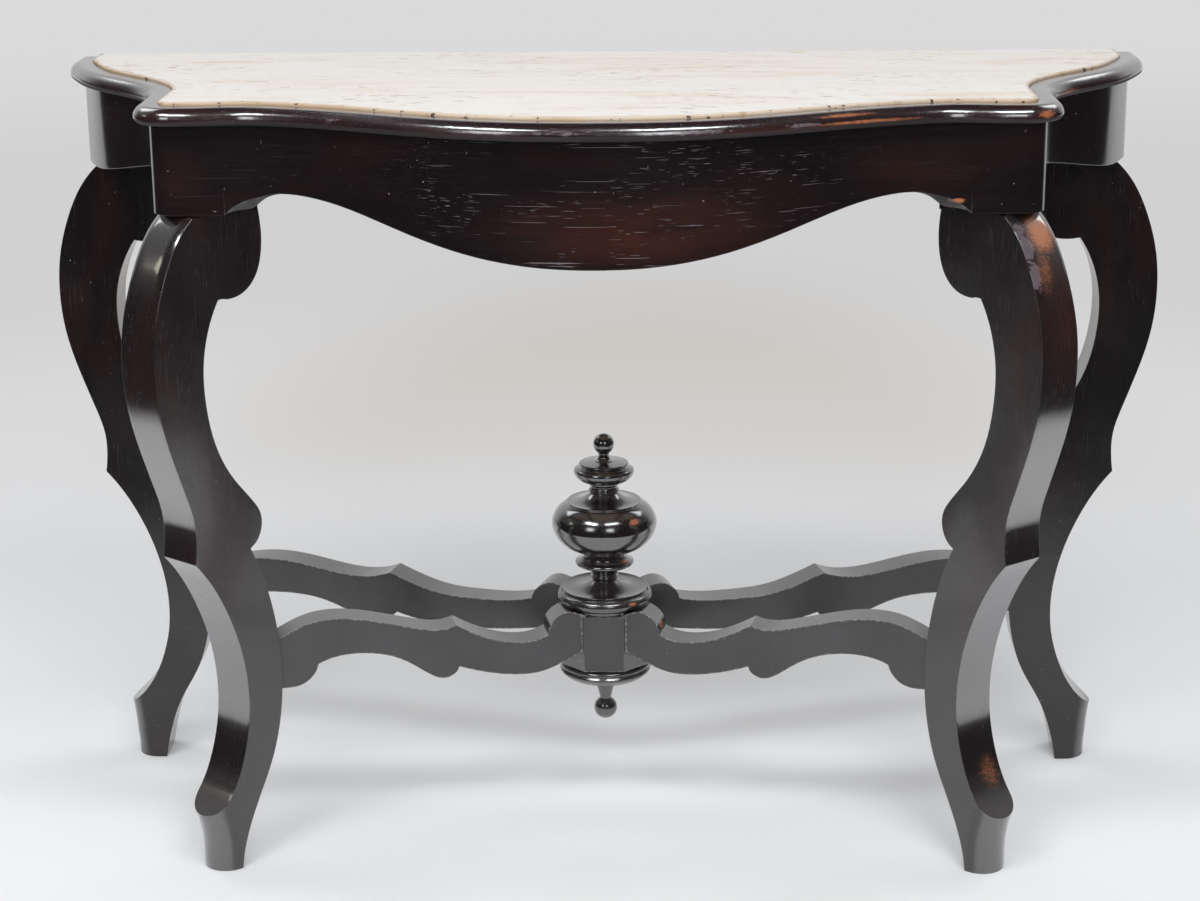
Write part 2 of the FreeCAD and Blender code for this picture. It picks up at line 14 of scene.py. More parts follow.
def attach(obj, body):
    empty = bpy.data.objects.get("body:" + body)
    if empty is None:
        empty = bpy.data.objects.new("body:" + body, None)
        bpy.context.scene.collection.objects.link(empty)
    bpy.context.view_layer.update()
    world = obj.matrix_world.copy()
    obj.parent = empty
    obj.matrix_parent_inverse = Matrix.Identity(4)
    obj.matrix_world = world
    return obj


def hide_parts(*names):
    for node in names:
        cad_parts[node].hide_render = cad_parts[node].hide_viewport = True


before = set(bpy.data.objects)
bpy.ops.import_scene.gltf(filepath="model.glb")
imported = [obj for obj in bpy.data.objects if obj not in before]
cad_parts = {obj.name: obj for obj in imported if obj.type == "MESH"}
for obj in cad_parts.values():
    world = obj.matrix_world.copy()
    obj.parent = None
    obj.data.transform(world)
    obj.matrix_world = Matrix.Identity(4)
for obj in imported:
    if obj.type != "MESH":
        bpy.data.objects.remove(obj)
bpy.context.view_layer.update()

MM = 0.001

bl_info = {
    "name": "Ebonised Pier Table",
    "version": (1, 0, 0),
    "blender": (4, 5, 0),
    "location": "3D View > Sidebar > Pier Table",
    "description": "Eased arrises, turnings, marble, finishes and studio for a serpentine pier table",
    "category": "Object",
}

# Places and sizes of the table and the floor, in metres.
AXIS_Y = 0.065  # upright axis of the urn, the block and the drop
SLAB_FACE = 0.800  # upper face of the marble
SLAB_SEAT = 0.785  # its lower face, on the rebate and the bearers
SLAB_BACK_Y = 0.237
SLAB_HALF_BACK = 0.5465
RIM_GAP = 0.6 * MM  # joint between the slab and its frame
EAR_JOINT_X, EAR_JOINT_Y = 0.358, -0.042  # glued joints between the aprons and the ears
KNEE_LOW, KNEE_HIGH = 0.555, 0.665  # the front knees are crowned from here up to here
KNEE_CROWN = 2.8 * MM
KNEE_CUTS = 11  # rows of points across a crowned knee
ARM_WEAR, BLOCK_WEAR = 2.2, 0.8  # their arrises against those of the other boards
PAPER_REACH = 30.0
PAPER_RINGS, PAPER_SIDES = 11, 96

# Turn of each diagonal board from the x axis.
FRONT_LEG_ANGLE = math.radians(51.27)
FRONT_ARM_ANGLE = math.radians(12.74)
REAR_ARM_ANGLE = math.radians(15.67)

# Turned pieces, in millimetres: heights where they meet, their balls' radius and centre.
BLOCK_TOP = 232.5
BLOCK_LOW = 170.0
COLLAR_TOP = 260.0
FINIAL_SEAT = 347.5
DROP_SEAT = 151.0
FINIAL_BALL = (11.2, 409.8)
DROP_BALL = (12.4, 112.4)
NECK = 5.8  # radius where a ball grows out of its stem
ARC_STEP = 1.2  # between the points of an arc
AROUND = 160  # facets round the axis

# Right half of the slab's front edge and its right side edge, in millimetres.
FRONT_WAVE = [(0, -213), (50, -211), (110, -198.5), (178, -171), (248, -136.8),
              (300, -118), (343, -110.3), (392, -115.5)]
SIDE_WAVE = [(420.5, -40), (424.5, -8.5), (443.5, 34), (477, 76.5),
             (514, 122), (538, 172), (546.5, 204)]
EAR_CENTRE = (404.5, -99.5)
EAR_RADIUS = 16.0

# Plain colours of wear and dirt.
FIBRE = (0.028, 0.018, 0.018)  # pale fibres in the stain
PORE = (0.24, 0.215, 0.225)  # old filler in the open pores
DUST = (0.040, 0.035, 0.037)
WORN_ARRIS = (0.085, 0.062, 0.055)
# Greyish flakes of worn finish, also used to paint a sheen of light on the right front knee.
SCUFF_AND_SHEEN = (0.17, 0.135, 0.155)
CHIP = (0.45, 0.43, 0.41)
GRIME = (0.035, 0.026, 0.020)
BAND = (0.66, 0.565, 0.465)  # tan bands of the marble, then its other marks
CLOUD = (0.65, 0.61, 0.575)
STREAK = (0.50, 0.39, 0.30)
DASH = (0.23, 0.145, 0.085)
RIM_STAIN = (0.45, 0.315, 0.19)
NIBBLED = (0.045, 0.028, 0.018)

LEG_NODES = ["leg_front_left", "leg_front_right", "leg_rear_left", "leg_rear_right"]
ARM_NODES = ["arm_front_left", "arm_front_right", "arm_rear_left", "arm_rear_right"]
APRON_NODES = ["apron_front", "apron_left", "apron_right", "ear_block_left", "ear_block_right"]
RIM_NODES = ["rim_front", "rim_left", "rim_right"]
CARCASS_NODES = ["back_rail", "rear_block_left", "rear_block_right", "bearer_left",
                 "bearer_right", "glue_blocks", "leg_pegs", "spindle"]


# ================ settings
class PierTableFinish(bpy.types.PropertyGroup):
    """Sizes and colours of the table's own surfaces."""
    arris: bpy.props.FloatProperty(
        name="Arris", description="Radius worn on the edges of the sawn pieces",
        default=0.0011, min=0.0, subtype="DISTANCE", unit="LENGTH")
    turned_arris: bpy.props.FloatProperty(
        name="Turned arris", description="Radius left on the edges of the turned pieces",
        default=0.0006, min=0.0, subtype="DISTANCE", unit="LENGTH")
    slab_ease: bpy.props.FloatProperty(
        name="Slab ease", description="Radius rubbed on the upper edge of the marble",
        default=0.0018, min=0.0, subtype="DISTANCE", unit="LENGTH")
    stain: bpy.props.FloatVectorProperty(
        name="Stain", description="Colour of the ebonised finish",
        default=(0.0048, 0.0034, 0.0040), min=0.0, max=1.0, subtype="COLOR")
    glow: bpy.props.FloatVectorProperty(
        name="Glow", description="Red-brown wood that shows through the finish",
        default=(0.050, 0.014, 0.008), min=0.0, max=1.0, subtype="COLOR")
    rubbed: bpy.props.FloatVectorProperty(
        name="Rubbed wood", description="Colour where the finish is worn through",
        default=(0.34, 0.115, 0.048), min=0.0, max=1.0, subtype="COLOR")
    marble: bpy.props.FloatVectorProperty(
        name="Marble", description="Ground colour of the slab",
        default=(0.720, 0.684, 0.645), min=0.0, max=1.0, subtype="COLOR")
    deal: bpy.props.FloatVectorProperty(
        name="Deal", description="Colour of the plain wood inside the frame",
        default=(0.20, 0.105, 0.050), min=0.0, max=1.0, subtype="COLOR")


class PierTableStudio(bpy.types.PropertyGroup):
    """Camera and light of the studio."""
    lens: bpy.props.FloatProperty(
        name="Lens", description="Focal length on a 36 mm wide sensor",
        default=78.6, min=10.0, unit="CAMERA")
    eye: bpy.props.FloatVectorProperty(
        name="Eye", description="Place of the camera",
        default=(0.070, -2.5914, 1.1765), subtype="TRANSLATION", unit="LENGTH")
    yaw: bpy.props.FloatProperty(
        name="Yaw", description="Turn of the view to the right of straight ahead",
        default=-0.0278, subtype="ANGLE")
    pitch: bpy.props.FloatProperty(
        name="Pitch", description="Slope of the view below the level",
        default=0.2835, subtype="ANGLE")
    roll: bpy.props.FloatProperty(
        name="Roll", description="Lean of the camera",
        default=0.0083, subtype="ANGLE")
    paper: bpy.props.FloatVectorProperty(
        name="Paper", description="Colour of the floor",
        default=(0.81, 0.813, 0.823), min=0.0, max=1.0, subtype="COLOR")
    backdrop: bpy.props.FloatVectorProperty(
        name="Backdrop", description="Colour of the paper far behind the table",
        default=(0.66, 0.66, 0.665), min=0.0, max=1.0, subtype="COLOR")
    shade: bpy.props.FloatVectorProperty(
        name="Shade", description="Colour of the soft shade on the paper behind the table",
        default=(0.585, 0.56, 0.535), min=0.0, max=1.0, subtype="COLOR")
    dim_room: bpy.props.FloatVectorProperty(
        name="Dim room", description="What gloss mirrors in front and at the sides",
        default=(0.022, 0.021, 0.023), min=0.0, max=1.0, subtype="COLOR")
    surround: bpy.props.FloatProperty(
        name="Surround", description="Strength of the even light from all round",
        default=0.48, min=0.0)
    key: bpy.props.FloatProperty(
        name="Key", description="Strength that the soft lamps share out",
        default=23.0, min=0.0)


# ================ numbers to meshes
def smooth_line(points, start, end, count):
    """Cubic spline through the points with given end directions, as an array.

    The parameter u is the length along the chords. Between two points the
    curve is the cubic Hermite blend of the points and of their slopes; the
    slopes solve the usual three-term equations that make the bend continuous.
    """
    p = np.array(points, float)
    u = np.concatenate([[0.0], np.cumsum(np.linalg.norm(np.diff(p, axis=0), axis=1))])
    h = np.diff(u)
    n = len(p)
    left, right = np.zeros((n, n)), np.zeros((n, 2))
    left[0, 0] = left[-1, -1] = 1.0
    right[0], right[-1] = start, end
    i = np.arange(1, n - 1)
    left[i, i - 1] = h[1:]
    left[i, i] = 2.0 * (h[:-1] + h[1:])
    left[i, i + 1] = h[:-1]
    step = np.diff(p, axis=0) / h[:, None]
    right[1:-1] = 3.0 * (step[:-1] * h[1:, None] + step[1:] * h[:-1, None])
    slope = np.linalg.solve(left, right)
    at = np.linspace(0.0, u[-1], count)
    k = np.clip(np.searchsorted(u, at, side="right") - 1, 0, n - 2)
    t = ((at - u[k]) / h[k])[:, None]
    hk = h[k][:, None]
    return ((2 * t ** 3 - 3 * t ** 2 + 1) * p[k] + (t ** 3 - 2 * t ** 2 + t) * hk * slope[k]
            + (3 * t ** 2 - 2 * t ** 3) * p[k + 1] + (t ** 3 - t ** 2) * hk * slope[k + 1])


def arc_through(start, middle, end, count):
    """Points of the circular arc from start through middle to end.

    The centre is where the upright bisectors of the two chords cross; the
    angle runs evenly from start to end on the side of the middle point.
    """
    a, b, c = (np.array(q, float) for q in (start, middle, end))
    normals = np.array([b - a, c - b])
    level = 0.5 * np.array([b @ b - a @ a, c @ c - b @ b])
    centre = np.linalg.solve(normals, level)
    angles = [math.atan2(*(q - centre)[::-1]) for q in (a, b, c)]
    sweep = (angles[2] - angles[0]) % (2 * math.pi)
    if (angles[1] - angles[0]) % (2 * math.pi) > sweep:
        sweep -= 2 * math.pi
    t = angles[0] + sweep * np.linspace(0.0, 1.0, count)
    radius = np.linalg.norm(a - centre)
    return centre + radius * np.stack([np.cos(t), np.sin(t)], axis=1)


def eased_profile(corners, radius):
    """Chain of stretches with every junction rounded.

    Each stretch keeps its points but gives up the last bit, radius long, at
    both ends; a quadratic curve through the old corner joins the stretches:
    P(t) = (1-t)^2 A + 2t(1-t) corner + t^2 B.
    """
    line = [corners[0][:1]]
    t = np.linspace(0.0, 1.0, 5)[:, None]
    for k, stretch in enumerate(corners):
        along = np.concatenate([[0.0], np.cumsum(np.linalg.norm(np.diff(stretch, axis=0), axis=1))])
        cut = min(radius, 0.3 * along[-1])
        low = cut if k else 0.0
        high = along[-1] - (cut if k < len(corners) - 1 else 0.0)
        at = np.concatenate([[low], along[(along > low + 1e-9) & (along < high - 1e-9)], [high]])
        kept = np.stack([np.interp(at, along, stretch[:, j]) for j in range(2)], axis=1)
        if k:
            a, b = line[-1][-1], kept[0]
            corner = stretch[0]
            line.append((1 - t) ** 2 * a + 2 * t * (1 - t) * corner + t ** 2 * b)
        line.append(kept)
    chain = np.concatenate(line)
    fresh = np.concatenate([[True], np.linalg.norm(np.diff(chain, axis=0), axis=1) > 1e-5])
    return chain[fresh]


def profile(steps, radius):
    """Turned profile of radii and heights, in millimetres.

    A step of two numbers is a straight line to that place; a step of four is
    the circular arc to the first place through the second.
    """
    last = steps[0]
    stretches = []
    for step in steps[1:]:
        end, middle = step[:2], step[2:]
        if middle:
            count = max(7, int(math.dist(last, end) / ARC_STEP) + 3)
            stretches.append(arc_through(last, middle, end, count))
        else:
            stretches.append(np.array([last, end], float))
        last = end
    return eased_profile(stretches, radius)


def mesh_from(name, points, faces):
    """Mesh of whole arrays: points (n, 3), faces (m, 4) or a list of them."""
    mesh = bpy.data.meshes.new(name)
    mesh.from_pydata(points.tolist(), [], [f for block in faces for f in block.tolist()])
    mesh.polygons.foreach_set("use_smooth", np.ones(len(mesh.polygons), bool))
    mesh.update()
    return mesh


def grid_faces(rows, columns, wrap):
    """Corner numbers of the quads of a rows x columns grid."""
    i = np.arange(rows - 1)[:, None]
    j = np.arange(columns if wrap else columns - 1)[None, :]
    k = (j + 1) % columns
    quads = np.stack([i * columns + j, i * columns + k, (i + 1) * columns + k,
                      (i + 1) * columns + j], axis=-1)
    return quads.reshape(-1, 4)


def lathe(name, chain, around):
    """Closed turned piece: (r, z) carried round the urn's axis.

    Point(i, a) = (r_i cos a, axis + r_i sin a, z_i). Both ends of the chain
    lie on the axis and are closed by one point with a fan.
    """
    ring = chain[1:-1] * MM
    a = np.linspace(0.0, 2 * math.pi, around, endpoint=False)
    x = ring[:, :1] * np.cos(a)[None, :]
    y = AXIS_Y + ring[:, :1] * np.sin(a)[None, :]
    z = np.repeat(ring[:, 1:], around, axis=1)
    points = np.stack([x, y, z], axis=-1).reshape(-1, 3)
    poles = np.array([[0, AXIS_Y, chain[0, 1] * MM], [0, AXIS_Y, chain[-1, 1] * MM]])
    low, high = len(points), len(points) + 1
    j = np.arange(around)
    k = (j + 1) % around
    top = (len(ring) - 1) * around
    bottom_fan = np.stack([np.full(around, low), k, j], axis=1)
    top_fan = np.stack([top + j, top + k, np.full(around, high)], axis=1)
    faces = [grid_faces(len(ring), around, True), bottom_fan, top_fan]
    return mesh_from(name, np.concatenate([points, poles]), faces)


def store(mesh, name, values):
    """Writes one value or vector per point as an attribute of the mesh."""
    kind = "FLOAT_VECTOR" if values.ndim == 2 else "FLOAT"
    layer = mesh.attributes.new(name, kind, "POINT")
    layer.data.foreach_set("vector" if values.ndim == 2 else "value",
                           values.astype(np.float32).ravel())


def points_of(mesh):
    """All points of a mesh as an array."""
    co = np.empty(len(mesh.vertices) * 3, np.float32)
    mesh.vertices.foreach_get("co", co)
    return co.reshape(-1, 3).astype(float)


def board_points(co, turn, upright, seed):
    """Places in a sawn board: x along its grain, y across, z through it.

    The board's plane is turned back by the angle; an upright board has its
    grain along +Z. The seed shifts each board to its own part of the log.
    """
    c, s = math.cos(turn), math.sin(turn)
    along = co[:, 0] * c + co[:, 1] * s
    through = co[:, 1] * c - co[:, 0] * s
    parts = [co[:, 2], along, through] if upright else [along, co[:, 2], through]
    return np.stack(parts, axis=1) + seed * np.array([1.37, 0.61, 0.43])


def apron_points(co):
    """Places on the bent boards of the frame: x along their faces, y up.

    The length along the faces is x plus, on its own side, how far back the
    point lies from the middle of the front.
    """
    along = co[:, 0] + np.sign(co[:, 0]) * (co[:, 1] - FRONT_WAVE[0][1] * MM)
    return np.stack([along, co[:, 2], 0.02 * co[:, 1]], axis=1)


# ================ pieces
def placed(name, data):
    """Object of a mesh, a lamp or a camera, in the scene."""
    thing = bpy.data.objects.new(name, data)
    bpy.context.scene.collection.objects.link(thing)
    return thing


def cover(mesh, material):
    """Gives the whole mesh one material."""
    mesh.materials.clear()
    mesh.materials.append(material)


def show(name, mesh, material, body, nodes):
    """Finished piece at the origin, riding on its body in place of its nodes."""
    piece = placed(name, mesh)
    cover(mesh, material)
    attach(piece, body)
    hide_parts(*nodes)
    return piece


def flush(edge):
    """Whether an edge lies in a glued joint between an apron and an ear."""
    ends = [v.co for v in edge.verts]
    front = all(abs(abs(p.x) - EAR_JOINT_X) < 1e-5 and p.y < EAR_JOINT_Y for p in ends)
    side = all(abs(p.y - EAR_JOINT_Y) < 1e-5 for p in ends)
    return front or side


def crown_knee(build, turn, out):
    """Rounds the outer band of a front leg's knee across the board's thickness.

    A point of the band goes in along the band's own normal by
    KNEE_CROWN * fade(z) * (s / half)**6, where s is its distance from the
    middle of the board and fade rises smoothly from 0 to 1 up the knee.
    """
    through = Vector((-math.sin(turn), math.cos(turn), 0.0))
    depth = [v.co.dot(through) for v in build.verts]
    middle, half = 0.5 * (min(depth) + max(depth)), 0.5 * (max(depth) - min(depth))
    bars = [e for e in build.edges
            if min(v.co.z for v in e.verts) > KNEE_LOW and e.calc_length() > half
            and abs((e.verts[0].co - e.verts[1].co).dot(through)) > 0.99 * e.calc_length()
            and all(f.normal.dot(out) > 0.1 for f in e.link_faces)]
    bmesh.ops.subdivide_edges(build, edges=bars, cuts=KNEE_CUTS, use_grid_fill=True)
    build.normal_update()
    moves = []
    for v in build.verts:
        flat = v.normal - v.normal.dot(through) * through
        if v.co.z > KNEE_LOW and flat.length > 0.02 and flat.normalized().dot(out) > 0.1:
            fade = min(1.0, (v.co.z - KNEE_LOW) / (KNEE_HIGH - KNEE_LOW))
            fade = fade * fade * (3.0 - 2.0 * fade)
            side = min(1.0, abs(v.co.dot(through) - middle) / half)
            moves.append((v, flat.normalized() * (-KNEE_CROWN * fade * side ** 6)))
    for v, move in moves:
        v.co += move


def eased_copy(node, radius, segments=2, sharp=math.radians(28.0), knee=None):
    """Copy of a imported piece, merged, its flats joined and its arrises rounded."""
    build = bmesh.new()
    build.from_mesh(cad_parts[node].data)
    bmesh.ops.remove_doubles(build, verts=build.verts, dist=2e-6)
    bmesh.ops.dissolve_limit(build, angle_limit=math.radians(0.4), use_dissolve_boundaries=False,
                             verts=build.verts, edges=build.edges)
    corners = [e for e in build.edges if e.is_manifold and e.calc_face_angle(0.0) > sharp]
    arrises = [e for e in corners if not flush(e)]
    for edge in corners:
        edge.smooth = not flush(edge)
    bmesh.ops.bevel(build, geom=arrises, offset=radius, offset_type="OFFSET", segments=segments,
                    profile=0.5, affect="EDGES", clamp_overlap=True, loop_slide=True,
                    harden_normals=False)
    if knee:
        crown_knee(build, *knee)
    bmesh.ops.triangulate(build, faces=[f for f in build.faces if len(f.verts) > 4])
    mesh = bpy.data.meshes.new("eased_" + node)
    build.to_mesh(mesh)
    build.free()
    if mesh.attributes.get("custom_normal"):
        mesh.attributes.remove(mesh.attributes["custom_normal"])
    mesh.polygons.foreach_set("use_smooth", np.ones(len(mesh.polygons), bool))
    mesh.update()
    return mesh


def sawn_band(mesh, turn):
    """1 on the sawn edges of a board, 0 on its two flats.

    The share of the point's normal that lies in the board's own plane, from
    a third to two thirds of the whole, as a smooth step.
    """
    normals = np.empty(len(mesh.vertices) * 3, np.float32)
    mesh.vertex_normals.foreach_get("vector", normals)
    across = normals.reshape(-1, 3) @ np.array([-math.sin(turn), math.cos(turn), 0.0])
    share = np.sqrt(np.clip(1.0 - across ** 2, 0.0, 1.0))
    t = np.clip(3.0 * share - 1.0, 0.0, 1.0)
    return t * t * (3.0 - 2.0 * t)


def eased_piece(node, radius, material, turn=0.0, upright=False, seed=0.0, knee=None,
                bent=False):
    """One sawn piece of the table with its arrises eased and its grain laid."""
    mesh = eased_copy(node, radius, knee=knee)
    co = points_of(mesh)
    store(mesh, "board", apron_points(co) if bent else board_points(co, turn, upright, seed))
    store(mesh, "band", sawn_band(mesh, turn))
    piece = show(node + "_eased", mesh, material, "table", [node])
    settle = piece.modifiers.new("even_shading", "WEIGHTED_NORMAL")
    settle.mode = "FACE_AREA"
    settle.weight = 50
    settle.keep_sharp = True
    return piece


# ================ finishes
class Wiring:
    """A node tree under construction."""

    def __init__(self, tree):
        self.tree = tree

    def add(self, kind, settings=None, *ordered, **named):
        """Adds a node: its own settings, then its sockets in order or by name."""
        node = self.tree.nodes.new(kind)
        for key, value in (settings or {}).items():
            setattr(node, key, value)
        for key, value in [*enumerate(ordered), *named.items()]:
            self.feed(node, key, value)
        return node

    def feed(self, node, key, value):
        """Links or sets one socket, given its number or its name with underscores."""
        socket = node.inputs[key if isinstance(key, int) else key.replace("_", " ")]
        if isinstance(value, bpy.types.NodeSocket):
            self.tree.links.new(value, socket)
        else:
            socket.default_value = (*value, 1.0) if socket.type == "RGBA" else value

    def layer(self, name, kind="Fac"):
        """A named attribute of the mesh, as a value or a vector."""
        return self.add("ShaderNodeAttribute", {"attribute_name": name}).outputs[kind]

    def places(self, attribute=None, scale=(1, 1, 1), turn=(0, 0, 0)):
        """Object coordinates, or a named attribute, stretched for a pattern."""
        if attribute:
            source = self.layer(attribute, "Vector")
        else:
            source = self.add("ShaderNodeTexCoord").outputs["Object"]
        return self.add("ShaderNodeMapping", Vector=source, Rotation=turn, Scale=scale).outputs[0]

    def noise(self, vector, scale, detail=4.0, roughness=0.55, distortion=0.0):
        """Noise value from 0 to 1."""
        node = self.add("ShaderNodeTexNoise", Vector=vector, Scale=scale, Detail=detail,
                        Roughness=roughness, Distortion=distortion)
        return node.outputs["Fac"]

    def ramp(self, value, low, high, bottom=0.0, top=1.0):
        """Smooth step of a value from low to high, onto bottom to top."""
        node = self.add("ShaderNodeMapRange", {"interpolation_type": "SMOOTHSTEP"}, Value=value,
                        From_Min=low, From_Max=high, To_Min=bottom, To_Max=top)
        return node.outputs["Result"]

    def math(self, operation, a, b=0.5, c=0.0):
        """One step of arithmetic."""
        return self.add("ShaderNodeMath", {"operation": operation}, a, b, c).outputs[0]

    def vector(self, operation, a, b=(0.0, 0.0, 0.0)):
        """One step of arithmetic with vectors, as the node's outputs."""
        return self.add("ShaderNodeVectorMath", {"operation": operation}, a, b).outputs

    def axes(self, vector):
        """The three parts of a vector, by their letters."""
        return self.add("ShaderNodeSeparateXYZ", None, vector).outputs

    def times(self, a, b):
        """Product of two values."""
        return self.math("MULTIPLY", a, b)

    def less(self, share):
        """What a share leaves of 1."""
        return self.math("SUBTRACT", 1.0, share)

    def mix(self, factor, a, b):
        """Blend of two colours."""
        node = self.add("ShaderNodeMix", {"data_type": "RGBA"}, factor)
        self.feed(node, 6, a)
        self.feed(node, 7, b)
        return node.outputs[2]

    def bump(self, height, distance, strength=1.0, normal=None):
        """Small relief in metres."""
        node = self.add("ShaderNodeBump", Height=height, Distance=distance, Strength=strength)
        if normal is not None:
            self.feed(node, "Normal", normal)
        return node.outputs["Normal"]

    def glow(self, colour, strength=1.0):
        """Plain light of one colour."""
        return self.add("ShaderNodeEmission", Color=colour, Strength=strength).outputs["Emission"]

    def blend(self, factor, a, b):
        """Mix of two shaders."""
        return self.add("ShaderNodeMixShader", None, factor, a, b).outputs[0]

    def spot(self, centre, size, power=1.0):
        """1 at a place of the table, fading to 0 at an ellipsoid round it."""
        source = self.add("ShaderNodeTexCoord").outputs["Object"]
        away = self.vector("SUBTRACT", source, centre)["Vector"]
        share = self.vector("DIVIDE", away, size)["Vector"]
        return self.ramp(self.vector("LENGTH", share)["Value"], 1.0, 0.0, 0.0, power)

    def off_joints(self):
        """0 on the glued joints between the aprons and the ears, 1 away from them."""
        place = self.axes(self.places())
        across = self.math("SUBTRACT", self.math("ABSOLUTE", place["X"]), EAR_JOINT_X)
        along = self.math("SUBTRACT", place["Y"], EAR_JOINT_Y)
        near = self.math("MINIMUM", self.math("ABSOLUTE", across), self.math("ABSOLUTE", along))
        return self.ramp(near, 0.0025, 0.0045)

    def edges(self, radius):
        """How near a point is to an arris, from 0 to about 1."""
        soft = self.add("ShaderNodeBevel", {"samples": 4}, Radius=radius)
        true = self.add("ShaderNodeNewGeometry").outputs["Normal"]
        agree = self.vector("DOT_PRODUCT", soft.outputs["Normal"], true)["Value"]
        return self.ramp(agree, 0.99, 0.80)


class Finish(Wiring):
    """A material under construction: a Principled shader and what feeds it."""

    def __init__(self, name):
        self.material = bpy.data.materials.new(name)
        self.material.use_nodes = True
        super().__init__(self.material.node_tree)
        self.shader = self.tree.nodes["Principled BSDF"]

    def finish(self, **sockets):
        """Feeds the shader and hands over the material."""
        for key, value in sockets.items():
            self.feed(self.shader, key, value)
        return self.material


def toned(colour, level):
    """Colour made darker or paler by a factor."""
    return tuple(part * level for part in colour)


class DarkWood(Finish):
    """Ebonised rosewood: a ground colour that takes one kind of wear after the other."""

    def __init__(self, name, look, attribute, banded):
        super().__init__(name)
        self.look, self.attribute = look, attribute
        self.broad = self.noise(self.places(attribute, (2.6, 8.0, 8.0)), 2.0, 3.0, 0.5, 0.4)
        self.figure = self.noise(self.places(attribute, (3.5, 34.0, 34.0)), 3.0, 5.0, 0.6, 0.6)
        self.fibre = self.noise(self.places(attribute, (14.0, 620.0, 620.0)), 1.0, 3.0, 0.6)
        self.cloud = self.noise(self.places(), 9.0, 3.0, 0.6)
        facing = self.add("ShaderNodeNewGeometry").outputs["Normal"]
        self.upward = self.axes(facing)["Z"]
        self.band = self.layer("band") if banded else 1.0

    def stained(self, stain, glow, glow_and_warm_light):
        """Stain with a red-brown glow in broad patches and a little pale fibre. The spots add more of
        the glow colour; on the right front leg that is painted warmer light.
        """
        warmth = self.ramp(self.broad, 0.45, 0.70, 0.0, glow)
        for centre, size, power in glow_and_warm_light:
            uneven = self.ramp(self.broad, 0.25, 0.6, 0.3, 1.0)
            here = self.times(self.spot(centre, size, power), uneven)
            warmth = self.math("MAXIMUM", warmth, here)
        ground = self.mix(warmth, stain, self.look.glow)
        ground = self.mix(self.ramp(self.figure, 0.50, 0.70, 0.0, 0.5), ground, stain)
        return self.mix(self.ramp(self.fibre, 0.52, 0.75, 0.0, 0.22), ground, FIBRE)

    def open_pores(self, pored):
        """1 in short dots and long lines along the grain, fewer away from their fields."""
        vessel = self.noise(self.places(self.attribute, (70.0, 1200.0, 1200.0)), 1.0, 0.0)
        streak = self.noise(self.places(self.attribute, (16.0, 1000.0, 1000.0)), 1.0, 0.0)
        patchy = self.noise(self.places(self.attribute, (8.0, 26.0, 26.0)), 1.0, 2.0, 0.5)
        dots = self.times(self.ramp(vessel, 0.74, 0.79), self.ramp(patchy, 0.44, 0.60))
        lines = self.times(self.ramp(streak, 0.76, 0.81), self.ramp(patchy, 0.38, 0.50))
        pore = self.math("MAXIMUM", dots, lines)
        for centre, size, least in pored:
            pore = self.times(pore, self.ramp(self.spot(centre, size), 0.0, 0.6, least, 1.0))
        return pore

    def clean(self, wiped):
        """1 on the upper faces at the places that stay clean of dust."""
        clean = 0.0
        for centre, size in wiped:
            here = self.ramp(self.spot(centre, size), 0.0, 0.4)
            here = self.times(here, self.ramp(self.upward, 0.05, 0.25))
            clean = self.math("MAXIMUM", clean, here)
        return clean

    def dusted(self, ground, dust, clean):
        """Cloudy film of dust, none where wiped; thinned near the arrises of upright faces, which
        paints a dark strip of shade there.
        """
        haze = self.times(self.ramp(self.cloud, 0.30, 0.70, 0.4, 1.0), dust)
        # Painted shade: less dust near the arrises of upright faces leaves a dark strip there.
        painted_shade_strip = self.times(self.edges(0.008), self.ramp(self.upward, 0.5, 0.1))
        haze = self.times(haze, self.less(self.times(painted_shade_strip, 0.8)))
        haze = self.times(haze, self.less(clean))
        return self.mix(haze, ground, DUST)

    def rubbed(self, ground, worn_edge, joints, bare):
        """Arrises rubbed brown in lengths; or, given a pale colour, arrises worn in small grains that
        are painted pale as glints of light.
        """
        if bare:
            grain = self.noise(self.places(), 260.0, 1.0, 0.5)
            arris = self.edges(0.0035)
            share = self.ramp(grain, 0.48, 0.60, 0.1, worn_edge)
        else:
            arris = self.edges(0.0022)
            share = self.ramp(self.figure, 0.40, 0.62, 0.15 * worn_edge, worn_edge)
        if joints:
            arris = self.times(arris, self.off_joints())
        return self.mix(self.times(arris, share), ground, bare or WORN_ARRIS)

    def scuffed_and_sheened(self, ground, spots, soft):
        """Greyish flakes where the finish has taken scuff marks, and on the right front knee a painted
        sheen of light; on a leg only on its sawn edges.
        """
        flake = self.noise(self.places(None, (95.0, 300.0, 300.0)), 1.0, 4.0, 0.6)
        for centre, size, power in spots:
            bald_and_sheen = self.math("ADD", self.spot(centre, size, power), flake)
            bald_and_sheen = self.times(self.ramp(bald_and_sheen, 0.93, 0.99 + soft), self.band)
            ground = self.mix(self.times(bald_and_sheen, 0.6), ground, SCUFF_AND_SHEEN)
        return ground

    def worn(self, ground, spots, soft):
        """Orange wood where the finish is worn through, torn out along the scratches."""
        scratch = self.noise(self.places(None, (60.0, 420.0, 420.0)), 1.0, 3.0, 0.6)
        for centre, size, power in spots:
            near = self.spot(centre, size, power)
            torn = self.math("ADD", near, self.times(scratch, 0.7))
            torn = self.times(self.ramp(torn, 0.75 - soft, 1.15 + soft), self.ramp(near, 0.0, 0.35))
            ground = self.mix(torn, ground, self.look.rubbed)
        return ground

    def chipped(self, ground):
        """A few small pale chips."""
        speck = self.noise(self.places(), 430.0, 1.0, 0.5)
        return self.mix(self.times(self.ramp(speck, 0.795, 0.81), 0.7), ground, CHIP)

